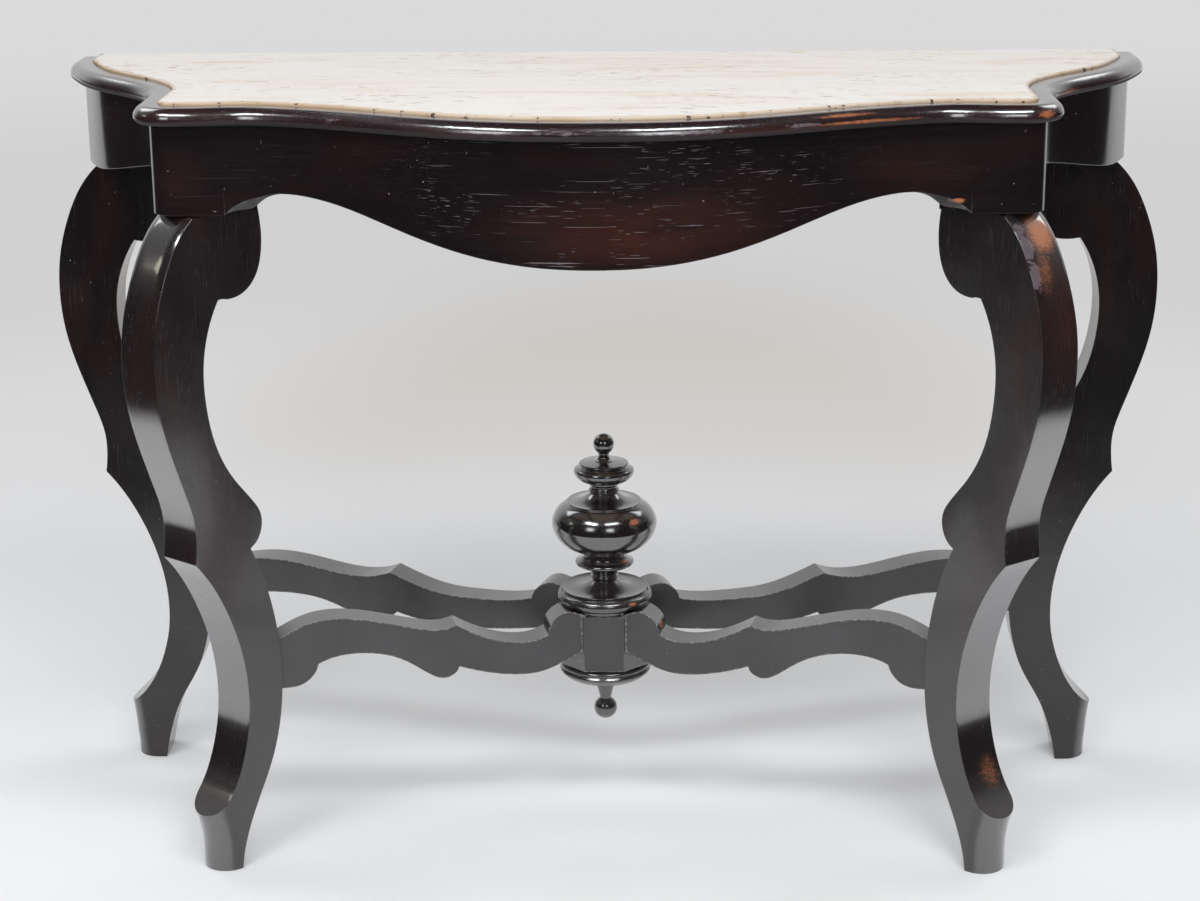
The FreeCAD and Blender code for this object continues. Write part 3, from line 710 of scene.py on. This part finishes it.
    def relief(self, depth, pore):
        """Slightly uneven faces with fibre, grit and sunk pores."""
        bumps = self.bump(self.noise(self.places(), 34.0, 2.0, 0.5), 0.0005 * depth)
        bumps = self.bump(self.fibre, 0.00005 * depth, 1.0, bumps)
        grit = self.noise(self.places(), 900.0, 1.0, 0.5)
        bumps = self.bump(grit, 0.00004 * depth, 1.0, bumps)
        return self.bump(pore, 0.00008, -0.8, bumps)


def dark_wood(name, look, attribute="board", polish=0.2, relief=0.3, pores=0.5, glow=0.3,
              dust=0.0, worn_edge=0.5, coat=(0.3, 1.0), coat_rough=0.1, stain=None, soft=0.0,
              joints=False, bare=None, worn=(), glow_and_warm_light=(), scuffs_and_sheen=(),
              pored=(), wiped=(), dull_under=False):
    """Ebonised rosewood: stain, red-brown glow, open pores, dust, wear and polish, and in places
    painted light and shade.

    The lists worn, glow_and_warm_light and scuffs_and_sheen hold spots: a place of the table, its reach
    along x, y and z, and its power. On the moulding and the aprons the second list is red-brown glow,
    on the right front leg painted warmer light; the third is greyish flakes of worn finish on the
    moulding and a painted sheen on the right front knee. In pored the last is the share of pores left
    far off, and wiped has no last. The coat is the weight of varnish on a board's flats and on its sawn
    edges.
    """
    wood = DarkWood(name, look, attribute, banded=coat[0] != coat[1])
    pore = wood.open_pores(pored)
    clean = wood.clean(wiped)
    ground = wood.stained(stain or look.stain, glow, glow_and_warm_light)
    ground = wood.mix(wood.times(pore, pores), ground, PORE)
    if dust:
        ground = wood.dusted(ground, dust, clean)
    ground = wood.rubbed(ground, worn_edge, joints, bare)
    ground = wood.scuffed_and_sheened(ground, scuffs_and_sheen, soft)
    ground = wood.worn(ground, worn, soft)
    ground = wood.chipped(ground)

    rough = wood.ramp(wood.cloud, 0.30, 0.72, polish - 0.04, polish + 0.06)
    rough = wood.math("ADD", rough, wood.times(pore, 0.25))
    if wiped:
        rough = wood.math("SUBTRACT", rough, wood.times(clean, 0.16))
    varnish = coat[1]
    if coat[0] != coat[1]:
        varnish = wood.ramp(wood.band, 0.0, 1.0, *coat)
    if dull_under:
        under = wood.ramp(wood.upward, -0.05, -0.32)
        varnish = wood.times(wood.less(under), coat[1])
        rough = wood.math("ADD", rough, wood.times(under, 0.45))
    return wood.finish(Base_Color=ground, Roughness=rough, Normal=wood.relief(relief, pore),
                       IOR=1.7, Coat_Weight=varnish, Coat_IOR=2.1, Coat_Roughness=coat_rough)


def plain_wood(name, look):
    """Deal and offcuts inside the frame: pale grain, saw marks, old dust."""
    made = Finish(name)
    rings = made.noise(made.places(None, (3.0, 60.0, 60.0)), 1.5, 4.0, 0.6, 0.6)
    saw = made.noise(made.places(None, (160.0, 12.0, 12.0)), 1.0, 2.0, 0.5)
    grime = made.noise(made.places(), 11.0, 4.0, 0.6)
    ground = made.mix(made.ramp(rings, 0.35, 0.7), look.deal, toned(look.deal, 0.55))
    ground = made.mix(made.ramp(grime, 0.45, 0.8, 0.0, 0.75), ground, GRIME)
    relief = made.bump(saw, 0.0003, 0.6)
    return made.finish(Base_Color=ground, Roughness=made.ramp(grime, 0.3, 0.7, 0.62, 0.82),
                       Normal=relief)


def slab_marble(look):
    """Warm white marble: long cloudy bands, brown dashes, stained chipped rim."""
    made = Finish("pink_white_marble")
    band = made.noise(made.places(None, (1.6, 9.0, 1.0), (0, 0, 0.05)), 2.2, 6.0, 0.62, 1.1)
    fine = made.noise(made.places(None, (5.0, 55.0, 1.0), (0, 0, 0.04)), 2.0, 4.0, 0.6, 0.7)
    dash = made.noise(made.places(None, (55.0, 260.0, 1.0), (0, 0, 0.06)), 1.0, 1.0, 0.4)
    gather = made.noise(made.places(None, (7.0, 14.0, 1.0)), 1.0, 2.0, 0.5)
    blotch = made.noise(made.places(), 5.0, 3.0, 0.55)
    nibble = made.noise(made.places(), 150.0, 2.0, 0.6)
    reach = made.layer("edge_reach")

    ground = made.mix(made.ramp(band, 0.45, 0.75), look.marble, BAND)
    ground = made.mix(made.ramp(blotch, 0.50, 0.75, 0.0, 0.55), ground, CLOUD)
    ground = made.mix(made.ramp(fine, 0.56, 0.74, 0.0, 0.55), ground, STREAK)
    mark = made.times(made.ramp(dash, 0.655, 0.70), made.ramp(gather, 0.40, 0.62))
    ground = made.mix(made.times(mark, 0.8), ground, DASH)
    rim = made.ramp(made.math("ADD", reach, made.times(fine, 0.005)), 0.0075, 0.0025)
    ground = made.mix(made.times(rim, made.ramp(blotch, 0.3, 0.65, 0.50, 0.95)),
                      ground, RIM_STAIN)
    broken = made.times(made.ramp(nibble, 0.63, 0.69), made.ramp(reach, 0.0058, 0.0030))
    ground = made.mix(broken, ground, NIBBLED)
    relief = made.bump(nibble, 0.0002, 0.12)
    relief = made.bump(broken, 0.0006, -0.8, relief)
    return made.finish(Base_Color=ground, Roughness=made.ramp(blotch, 0.3, 0.7, 0.34, 0.50),
                       Normal=relief, Subsurface_Weight=0.04,
                       Subsurface_Radius=(0.010, 0.007, 0.005), Subsurface_Scale=0.4)


# ================ operators
class PIERTABLE_OT_slab(bpy.types.Operator):
    """Inset marble slab with a rubbed, chipped upper edge"""
    bl_idname = "pier_table.slab"
    bl_label = "Marble Slab"

    def outline(self):
        """Half outline from the middle of the front to the back corner.

        A cubic spline for the front wave, a straight run, a quarter circle
        round the ear, a straight run, a cubic spline for the side sweep.
        """
        gap = RIM_GAP / MM
        wave = smooth_line([(-x, y) for x, y in FRONT_WAVE[:0:-1]] + FRONT_WAVE, (1, 0), (1, 0), 241)
        wave = wave[120:]
        turn = np.linspace(-math.pi / 2, 0.0, 15)
        ear = np.array(EAR_CENTRE) + EAR_RADIUS * np.stack([np.cos(turn), np.sin(turn)], axis=1)
        run = ear[-1] + np.linspace(0.1, 0.9, 9)[:, None] * (np.array(SIDE_WAVE[0]) - ear[-1])
        sweep = smooth_line(SIDE_WAVE, (0, 1), (0, 1), 101)
        end = np.array([[SLAB_HALF_BACK / MM, SLAB_BACK_Y / MM - gap]])
        half = np.concatenate([wave, ear, run, sweep, end])
        along = np.gradient(half, axis=0)
        along /= np.linalg.norm(along, axis=1)[:, None]
        inward = np.stack([-along[:, 1], along[:, 0]], axis=1)
        return half * MM, inward

    def execute(self, context):
        look = context.scene.pier_table_finish
        half, inward = self.outline()
        ease = look.slab_ease
        whole = np.concatenate([half[:0:-1] * [-1, 1], half])
        normal = np.concatenate([inward[:0:-1] * [-1, 1], inward])
        turn = np.linspace(0.0, math.pi / 2, 6)
        flat = np.array([1, 2, 3.5, 6, 9, 12.5]) * MM
        reach = np.concatenate([[0.0], ease * (1 - np.cos(turn)), ease + flat])
        height = np.concatenate([[SLAB_SEAT], SLAB_FACE - ease * (1 - np.sin(turn)),
                                 np.full(len(flat), SLAB_FACE)])
        rows = whole[None] + normal[None] * (RIM_GAP + reach)[:, None, None]
        rows[:, :, 1] = np.minimum(rows[:, :, 1], SLAB_BACK_Y - RIM_GAP)
        skin = np.concatenate([rows, np.repeat(height[:, None, None], len(whole), axis=1)], axis=2)
        count = len(whole)
        top = np.arange(count)[None, :] + (len(rows) - 1) * count
        under = np.arange(count)[None, ::-1]
        mesh = mesh_from("marble_slab", skin.reshape(-1, 3),
                         [grid_faces(len(rows), count, True), top, under])
        store(mesh, "edge_reach", np.repeat(reach, count))
        slab = show("marble_slab", mesh, slab_marble(look), "slab", ["marble_top"])
        settle = slab.modifiers.new("even_shading", "WEIGHTED_NORMAL")
        settle.weight = 50
        return {"FINISHED"}


class PIERTABLE_OT_moulding(bpy.types.Operator):
    """Polished moulding round the marble, in its three mitred lengths"""
    bl_idname = "pier_table.moulding"
    bl_label = "Rim Moulding"

    def execute(self, context):
        look = context.scene.pier_table_finish
        orange = [((0.235, -0.168, 0.7935), (0.085, 0.040, 0.0032), 0.78),
                  ((0.250, -0.160, 0.7868), (0.150, 0.060, 0.0038), 0.80),
                  ((0.424, -0.133, 0.7885), (0.018, 0.022, 0.008), 0.85),
                  ((0.47, 0.02, 0.786), (0.05, 0.07, 0.006), 0.6)]
        bald_and_sheen = [((0.09, -0.226, 0.7878), (0.120, 0.03, 0.0060), 0.68),
                ((-0.03, -0.230, 0.7885), (0.095, 0.03, 0.0070), 0.60),
                ((-0.245, -0.165, 0.7900), (0.045, 0.03, 0.0090), 0.50),
                ((0.19, -0.190, 0.7880), (0.070, 0.03, 0.0060), 0.62)]
        glow_and_warm_light = [((-0.11, -0.22, 0.787), (0.09, 0.05, 0.006), 0.6),
                ((0.17, -0.20, 0.786), (0.16, 0.06, 0.006), 0.8)]
        polished = dark_wood("polished_moulding", look, attribute=None, polish=0.24, relief=0.5,
                             pores=0.05, glow=0.2, worn_edge=0.3, coat=(1.0, 1.0),
                             coat_rough=0.17, stain=(0.013, 0.0045, 0.0058), soft=0.12,
                             worn=orange, glow_and_warm_light=glow_and_warm_light, scuffs_and_sheen=bald_and_sheen, dull_under=True)
        for node in RIM_NODES:
            cover(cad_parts[node].data, polished)
        return {"FINISHED"}


class PIERTABLE_OT_aprons(bpy.types.Operator):
    """Bowed aprons and the ears between them, with eased lower edges"""
    bl_idname = "pier_table.aprons"
    bl_label = "Aprons"

    def execute(self, context):
        look = context.scene.pier_table_finish
        spots = [((0.345, -0.118, 0.7040), (0.016, 0.020, 0.0055), 0.9),
                 ((0.358, -0.110, 0.6990), (0.010, 0.020, 0.0045), 0.9)]
        field = [((0.03, -0.21, 0.72), (0.30, 0.15, 0.12), 0.15)]
        glow_and_warm_light = [((0.05, -0.22, 0.695), (0.22, 0.08, 0.055), 0.75),
                ((0.30, -0.13, 0.735), (0.10, 0.06, 0.04), 0.35),
                ((-0.40, -0.12, 0.73), (0.04, 0.06, 0.04), 0.35)]
        wood = dark_wood("open_grained_apron", look, polish=0.17, relief=0.15, pores=0.5,
                         glow=0.12, worn_edge=0.5, coat=(0.55, 0.55), coat_rough=0.12,
                         joints=True, worn=spots, glow_and_warm_light=glow_and_warm_light, pored=field)
        for node in APRON_NODES:
            eased_piece(node, look.arris, wood, bent=True)
        return {"FINISHED"}


class PIERTABLE_OT_legs(bpy.types.Operator):
    """Four sawn scroll legs with rubbed arrises"""
    bl_idname = "pier_table.legs"
    bl_label = "Scroll Legs"

    def execute(self, context):
        look = context.scene.pier_table_finish
        orange = [((0.424, -0.124, 0.674), (0.030, 0.038, 0.042), 1.0),
                  ((0.424, -0.138, 0.632), (0.022, 0.034, 0.060), 0.62),
                  ((0.397, -0.085, 0.100), (0.03, 0.03, 0.05), 0.55)]
        # Painted sheen: greyish flakes on the inner edge of the right front knee stand for a lamp's
        # broad reflection.
        painted_sheen = [((0.402, -0.136, 0.692), (0.016, 0.016, 0.040), 1.0),
                ((0.408, -0.143, 0.664), (0.016, 0.016, 0.040), 1.0),
                ((0.416, -0.151, 0.634), (0.015, 0.015, 0.040), 0.9)]
        # Painted warmer light: a red-brown patch halfway up the right front leg's outer edge stands for
        # a reddish reflection.
        glow_and_warm_light = [((0.439, -0.143, 0.590), (0.040, 0.040, 0.095), 0.9)]
        front = dark_wood("ebonised_front_leg", look, polish=0.22, relief=0.70, pores=0.05,
                          glow=0.18, worn_edge=0.4, coat=(0.30, 1.0),
                          stain=(0.0080, 0.0058, 0.0062), soft=0.15, worn=orange,
                          glow_and_warm_light=glow_and_warm_light, scuffs_and_sheen=painted_sheen)
        rear = dark_wood("ebonised_rear_leg", look, polish=0.26, relief=0.5, pores=0.06,
                         glow=0.2, worn_edge=0.5, coat=(0.0, 0.6))
        turns = [FRONT_LEG_ANGLE, -FRONT_LEG_ANGLE, 0.0, 0.0]
        for seed, (node, turn) in enumerate(zip(LEG_NODES, turns)):
            out = Vector((math.cos(turn), math.sin(turn), 0.0))
            knee = (turn, -out if turn > 0 else out) if turn else None
            wood = front if turn else rear
            eased_piece(node, look.arris, wood, turn, True, 1.0 + seed, knee)
        return {"FINISHED"}


class PIERTABLE_OT_stretcher(bpy.types.Operator):
    """Four scrolled arms and the block that they meet"""
    bl_idname = "pier_table.stretcher"
    bl_label = "Stretcher"

    def execute(self, context):
        look = context.scene.pier_table_finish
        orange = [((0.0615, 0.0250, 0.2225), (0.010, 0.016, 0.009), 1.0)]
        clean = [((0.0, 0.02, 0.235), (0.12, 0.09, 0.05))]
        # The pale arris colour paints broken glints of light along the worn arrises.
        wood = dark_wood("dull_ebonised_arm", look, polish=0.34, relief=0.5, pores=0.15,
                         glow=0.10, dust=1.0, worn_edge=0.8, coat=(0.05, 0.75), coat_rough=0.22,
                         bare=(0.36, 0.325, 0.305), worn=orange, wiped=clean)
        turns = [FRONT_ARM_ANGLE, -FRONT_ARM_ANGLE, -REAR_ARM_ANGLE, REAR_ARM_ANGLE]
        for seed, (node, turn) in enumerate(zip(ARM_NODES, turns)):
            eased_piece(node, ARM_WEAR * look.arris, wood, turn, False, 5.0 + seed)
        eased_piece("stretcher_block", BLOCK_WEAR * look.arris, wood, 0.0, True, 9.0)
        return {"FINISHED"}


class PIERTABLE_OT_turnings(bpy.types.Operator):
    """Turned collar, urn, cover and drop on the stretcher's axis"""
    bl_idname = "pier_table.turnings"
    bl_label = "Urn and Drop"

    def profiles(self):
        """Radius and height of each turned piece, from its lower axis point up."""
        ball, centre = FINIAL_BALL
        neck = NECK
        foot = centre - math.sqrt(ball ** 2 - neck ** 2)
        bead, middle = DROP_BALL
        head = middle + math.sqrt(bead ** 2 - neck ** 2)
        seat, top, low = FINIAL_SEAT, BLOCK_TOP, BLOCK_LOW
        return {
            "urn_collar": [
                (0, top), (46.5, top), (46.5, top + 3), (46.5, top + 16, 51.5, top + 9.5),
                (46, top + 19.5), (13.4, 259, 24, 252.8), (13.4, COLLAR_TOP), (0, COLLAR_TOP)],
            "urn_body": [
                (0, COLLAR_TOP), (13.4, COLLAR_TOP), (13.4, 261.5), (13.4, 265.5, 14.8, 263.5),
                (14.4, 269.5), (16, 273), (29.8, 277.3, 23.5, 274.4), (29.8, 281.8, 31.4, 279.5),
                (24.5, 286.5, 26.6, 283.6), (23.5, 293.5), (56, 322.7, 46.3, 303.2),
                (39.7, 346, 51.2, 337), (39.7, seat), (0, seat)],
            "urn_finial": [
                (0, seat), (39.7, seat), (39.1, seat + 0.6), (15, 357, 24, 350.6),
                (15, 361.5, 16.4, 359.2), (14.4, 363.5), (18.4, 367.4, 15.4, 366.2), (18.4, 369),
                (22.4, 370), (31.9, 379.5, 28.6, 373.6), (29.6, 384, 31.6, 382.2), (26.4, 385.4),
                (26.4, 388.6), (25.4, 389.8), (11.5, 391), (neck, 397.5, 7.4, 393), (neck, foot),
                (0, centre + ball, ball, centre)],
            "drop_disc": [
                (0, DROP_SEAT), (30, DROP_SEAT), (46, 156.2, 41, 152), (48.9, 160.5, 48.4, 158),
                (46.8, 163), (46.8, 168, 48.8, 165.5), (44, low), (0, low)],
            "drop_pendant": [
                (0, middle - bead), (neck, head, bead, middle), (11.6, 145, 8.2, 133.5),
                (12.4, DROP_SEAT), (0, DROP_SEAT)],
        }

    def execute(self, context):
        look = context.scene.pier_table_finish
        spots = [((0.033, 0.024, 0.336), (0.016, 0.018, 0.0075), 0.85),
                 ((0.024, 0.050, 0.284), (0.014, 0.014, 0.005), 0.85),
                 ((0.031, 0.024, 0.2445), (0.014, 0.014, 0.004), 0.85)]
        gloss = dark_wood("polished_turning", look, polish=0.17, relief=0.2, pores=0.05, glow=0.15,
                          worn_edge=0.5, coat=(1.0, 1.0), coat_rough=0.17, worn=spots)
        faded = dark_wood("dusty_turning", look, polish=0.24, relief=0.3, pores=0.05, glow=0.15,
                          dust=0.35, worn_edge=0.6, coat=(0.65, 0.65), coat_rough=0.20,
                          worn=spots)
        for node, steps in self.profiles().items():
            wood = faded if node in ("urn_collar", "drop_disc", "drop_pendant") else gloss
            mesh = lathe(node + "_turned", profile(steps, look.turned_arris / MM), AROUND)
            store(mesh, "board", board_points(points_of(mesh), 0.0, True, 11.0))
            show(node + "_turned", mesh, wood, "table", [node])
        return {"FINISHED"}


class PIERTABLE_OT_carcass(bpy.types.Operator):
    """Plain wood inside the frame: rail, corner blocks, bearers, pegs"""
    bl_idname = "pier_table.carcass"
    bl_label = "Carcass"

    def execute(self, context):
        look = context.scene.pier_table_finish
        deal = plain_wood("plain_inner_wood", look)
        dull = dark_wood("dull_back_rail", look, attribute=None, polish=0.42, relief=0.4, pores=0.1,
                         glow=0.2, dust=0.2, coat=(0.05, 0.05), coat_rough=0.3)
        for node in CARCASS_NODES:
            cover(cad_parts[node].data, dull if node == "back_rail" else deal)
        return {"FINISHED"}


class PIERTABLE_OT_studio(bpy.types.Operator):
    """Pale floor, soft lamps, surround and camera"""
    bl_idname = "pier_table.studio"
    bl_label = "Studio"

    def floor(self, studio):
        """Level disc: rings about the table, r = PAPER_REACH * (k / rings)**1.6.

        The paper takes shadows near the table. Far off it has a level of its
        own, with a soft shade behind the table; what gloss mirrors of it is
        white beside the legs and dim in front.
        """
        rings, sides = PAPER_RINGS, PAPER_SIDES
        a = np.linspace(0.0, 2 * math.pi, sides, endpoint=False)
        r = PAPER_REACH * np.linspace(0.0, 1.0, rings + 1)[1:, None] ** 1.6
        ring = np.stack([r * np.cos(a), r * np.sin(a), np.zeros((rings, sides))], axis=-1)
        j = np.arange(sides)
        fan = np.stack([np.full(sides, rings * sides), j, (j + 1) % sides], axis=1)
        points = np.concatenate([ring.reshape(-1, 3), np.zeros((1, 3))])
        mesh = mesh_from("studio_floor", points, [grid_faces(rings, sides, True)[:, ::-1], fan])

        made = Finish("studio_paper")
        crease = made.noise(made.places(), 3.0, 4.0, 0.5)
        colour = made.mix(made.ramp(crease, 0.3, 0.7), toned(studio.paper, 0.985), studio.paper)
        cover(mesh, made.finish(Base_Color=colour, Roughness=0.75, Specular_IOR_Level=0.25))

        # Far off: a level of its own, a little brighter at the horizon, and the soft shade.
        near = made.spot((0.0, -0.4, 0.0), (3.0, 3.0, 3.0))
        rays = made.add("ShaderNodeLightPath").outputs
        seen = made.math("MAXIMUM", rays["Is Camera Ray"], rays["Is Glossy Ray"])
        far = made.times(made.ramp(near, 0.62, 0.05, 0.0, 1.0), seen)
        wide = made.spot((0.0, -0.4, 0.0), (9.0, 9.0, 9.0))
        level = made.math("ADD", made.ramp(wide, 0.70, 0.90, 0.965, 1.09),
                          made.ramp(wide, 0.50, 0.10, 0.0, 0.10))
        shade = made.ramp(made.spot((0.03, 1.4, 0.0), (1.15, 2.0, 1.0)), 0.0, 0.75)
        pale = made.mix(shade, studio.backdrop, studio.shade)
        lit = made.blend(far, made.shader.outputs[0], made.glow(pale, level))
        # White beside the legs and dim in front, for gloss alone.
        place = made.axes(made.places())
        aside = made.math("ABSOLUTE", place["X"])
        white = made.times(made.ramp(aside, 0.55, 0.95, 0.0, 0.75), rays["Is Glossy Ray"])
        white = made.times(white, made.ramp(near, 0.30, 0.50))
        lit = made.blend(white, lit, made.glow((1.2, 1.2, 1.22)))
        bound = made.times(made.math("MULTIPLY_ADD", aside, 0.055, 0.79), aside)
        outside = made.ramp(made.math("SUBTRACT", bound, place["Y"]), 1.05, 1.38)
        dim = made.times(outside, rays["Is Glossy Ray"])
        lit = made.blend(dim, lit, made.glow(studio.dim_room))
        made.feed(made.tree.nodes["Material Output"], "Surface", lit)
        placed("studio_floor", mesh)

    def surround(self, studio):
        """Even pale light; gloss mirrors pale paper behind, half as pale beside, else a dim room."""
        world = bpy.data.worlds.new("studio_surround")
        bpy.context.scene.world = world
        world.use_nodes = True
        room = Wiring(world.node_tree)
        way = room.axes(room.add("ShaderNodeTexCoord").outputs["Generated"])
        raised = room.times(room.ramp(way["Z"], 0.08, 0.60, 0.0, 0.42), room.ramp(way["Z"], 0.97, 0.80))
        raised = room.times(raised, room.ramp(way["Y"], -0.25, 0.15))
        aside = room.math("ABSOLUTE", way["X"])
        raised = room.times(raised, room.ramp(aside, 0.40, 0.75))
        behind = room.times(room.ramp(way["Y"], 0.35, 0.70), room.ramp(way["Z"], 0.72, 0.48))
        behind = room.math("MAXIMUM", behind, raised)
        wall = room.mix(behind, studio.dim_room, studio.backdrop)
        even = room.glow((1.0, 1.0, 1.0), studio.surround)
        rays = room.add("ShaderNodeLightPath").outputs
        light = room.blend(rays["Is Glossy Ray"], even, room.glow(wall))
        light = room.blend(rays["Is Camera Ray"], light, room.glow(toned(studio.backdrop, 1.065)))
        room.feed(room.tree.nodes["World Output"], "Surface", light)

    def lamp(self, name, place, aim, size, power):
        """Rectangular soft lamp that faces a point."""
        light = bpy.data.lights.new(name, "AREA")
        light.color = (0.95, 0.975, 1.0)
        light.shape = "RECTANGLE"
        light.size, light.size_y = size
        light.energy = power
        lamp = placed(name, light)
        lamp.location = place
        lamp.rotation_euler = (Vector(aim) - Vector(place)).to_track_quat("-Z", "Y").to_euler()
        return lamp

    def camera(self, studio):
        """Camera level along +Y, leaned by the roll, pitched down, then yawed to the right."""
        yaw = Matrix.Rotation(-studio.yaw, 4, "Z")
        pitch = Matrix.Rotation(math.pi / 2 - studio.pitch, 4, "X")
        roll = Matrix.Rotation(-studio.roll, 4, "Z")
        data = bpy.data.cameras.new("studio_camera")
        data.lens = studio.lens
        data.sensor_width = 36.0
        data.sensor_fit = "HORIZONTAL"
        camera = placed("studio_camera", data)
        camera.matrix_world = Matrix.Translation(studio.eye) @ yaw @ pitch @ roll
        bpy.context.scene.camera = camera

    def execute(self, context):
        studio = context.scene.pier_table_studio
        self.floor(studio)
        self.surround(studio)
        key, aim = studio.key, (0.0, 0.0, 0.4)
        self.lamp("high_lamp_left", (-1.05, -1.37, 2.40), aim, (1.0, 0.34), 0.82 * key)
        self.lamp("high_lamp_right", (0.64, -1.40, 2.40), aim, (1.0, 0.34), 0.82 * key)
        self.lamp("low_lamp_left", (-1.40, -2.30, 1.50), aim, (0.7, 0.7), 0.25 * key)
        self.lamp("low_lamp_right", (0.70, -2.60, 1.45), aim, (0.7, 0.7), 0.25 * key)
        glint = self.lamp("side_lamp", (-2.90, -0.26, 1.70), (-0.42, -0.13, 0.65), (0.34, 0.36), 0.90)
        glint.data.color = (1.0, 0.97, 0.78)
        self.lamp("back_lamp_left", (-1.9, 1.3, 2.6), aim, (1.2, 1.2), 0.6 * key)
        self.lamp("back_lamp_right", (1.9, 1.3, 2.6), aim, (1.2, 1.2), 0.6 * key)
        fill = self.lamp("front_fill", (0.0, -3.6, 2.2), aim, (2.6, 1.6), 2.4 * key)
        fill.visible_glossy = False
        self.camera(studio)
        context.scene.view_settings.view_transform = "Standard"
        return {"FINISHED"}


STEPS = [PIERTABLE_OT_slab, PIERTABLE_OT_moulding, PIERTABLE_OT_aprons, PIERTABLE_OT_legs,
         PIERTABLE_OT_stretcher, PIERTABLE_OT_turnings, PIERTABLE_OT_carcass, PIERTABLE_OT_studio]


class PIERTABLE_PT_panel(bpy.types.Panel):
    """The table's steps and settings, in the sidebar"""
    bl_idname = "PIERTABLE_PT_panel"
    bl_label = "Pier Table"
    bl_space_type = "VIEW_3D"
    bl_region_type = "UI"
    bl_category = "Pier Table"

    def draw(self, context):
        for group in (context.scene.pier_table_finish, context.scene.pier_table_studio):
            column = self.layout.column(align=True)
            for key in group.__annotations__:
                column.prop(group, key)
        for step in STEPS:
            self.layout.operator(step.bl_idname)


CLASSES = [PierTableFinish, PierTableStudio, *STEPS, PIERTABLE_PT_panel]


def register():
    """Makes the settings, the operators and the panel known to Blender."""
    for entry in CLASSES:
        bpy.utils.register_class(entry)
    bpy.types.Scene.pier_table_finish = bpy.props.PointerProperty(type=PierTableFinish)
    bpy.types.Scene.pier_table_studio = bpy.props.PointerProperty(type=PierTableStudio)


def unregister():
    """Takes them away again."""
    del bpy.types.Scene.pier_table_studio
    del bpy.types.Scene.pier_table_finish
    for entry in reversed(CLASSES):
        bpy.utils.unregister_class(entry)


def main():
    """Registers, then runs every step in order."""
    register()
    for step in STEPS:
        group, name = step.bl_idname.split(".")
        getattr(getattr(bpy.ops, group), name)()


if __name__ == "__main__":
    main()
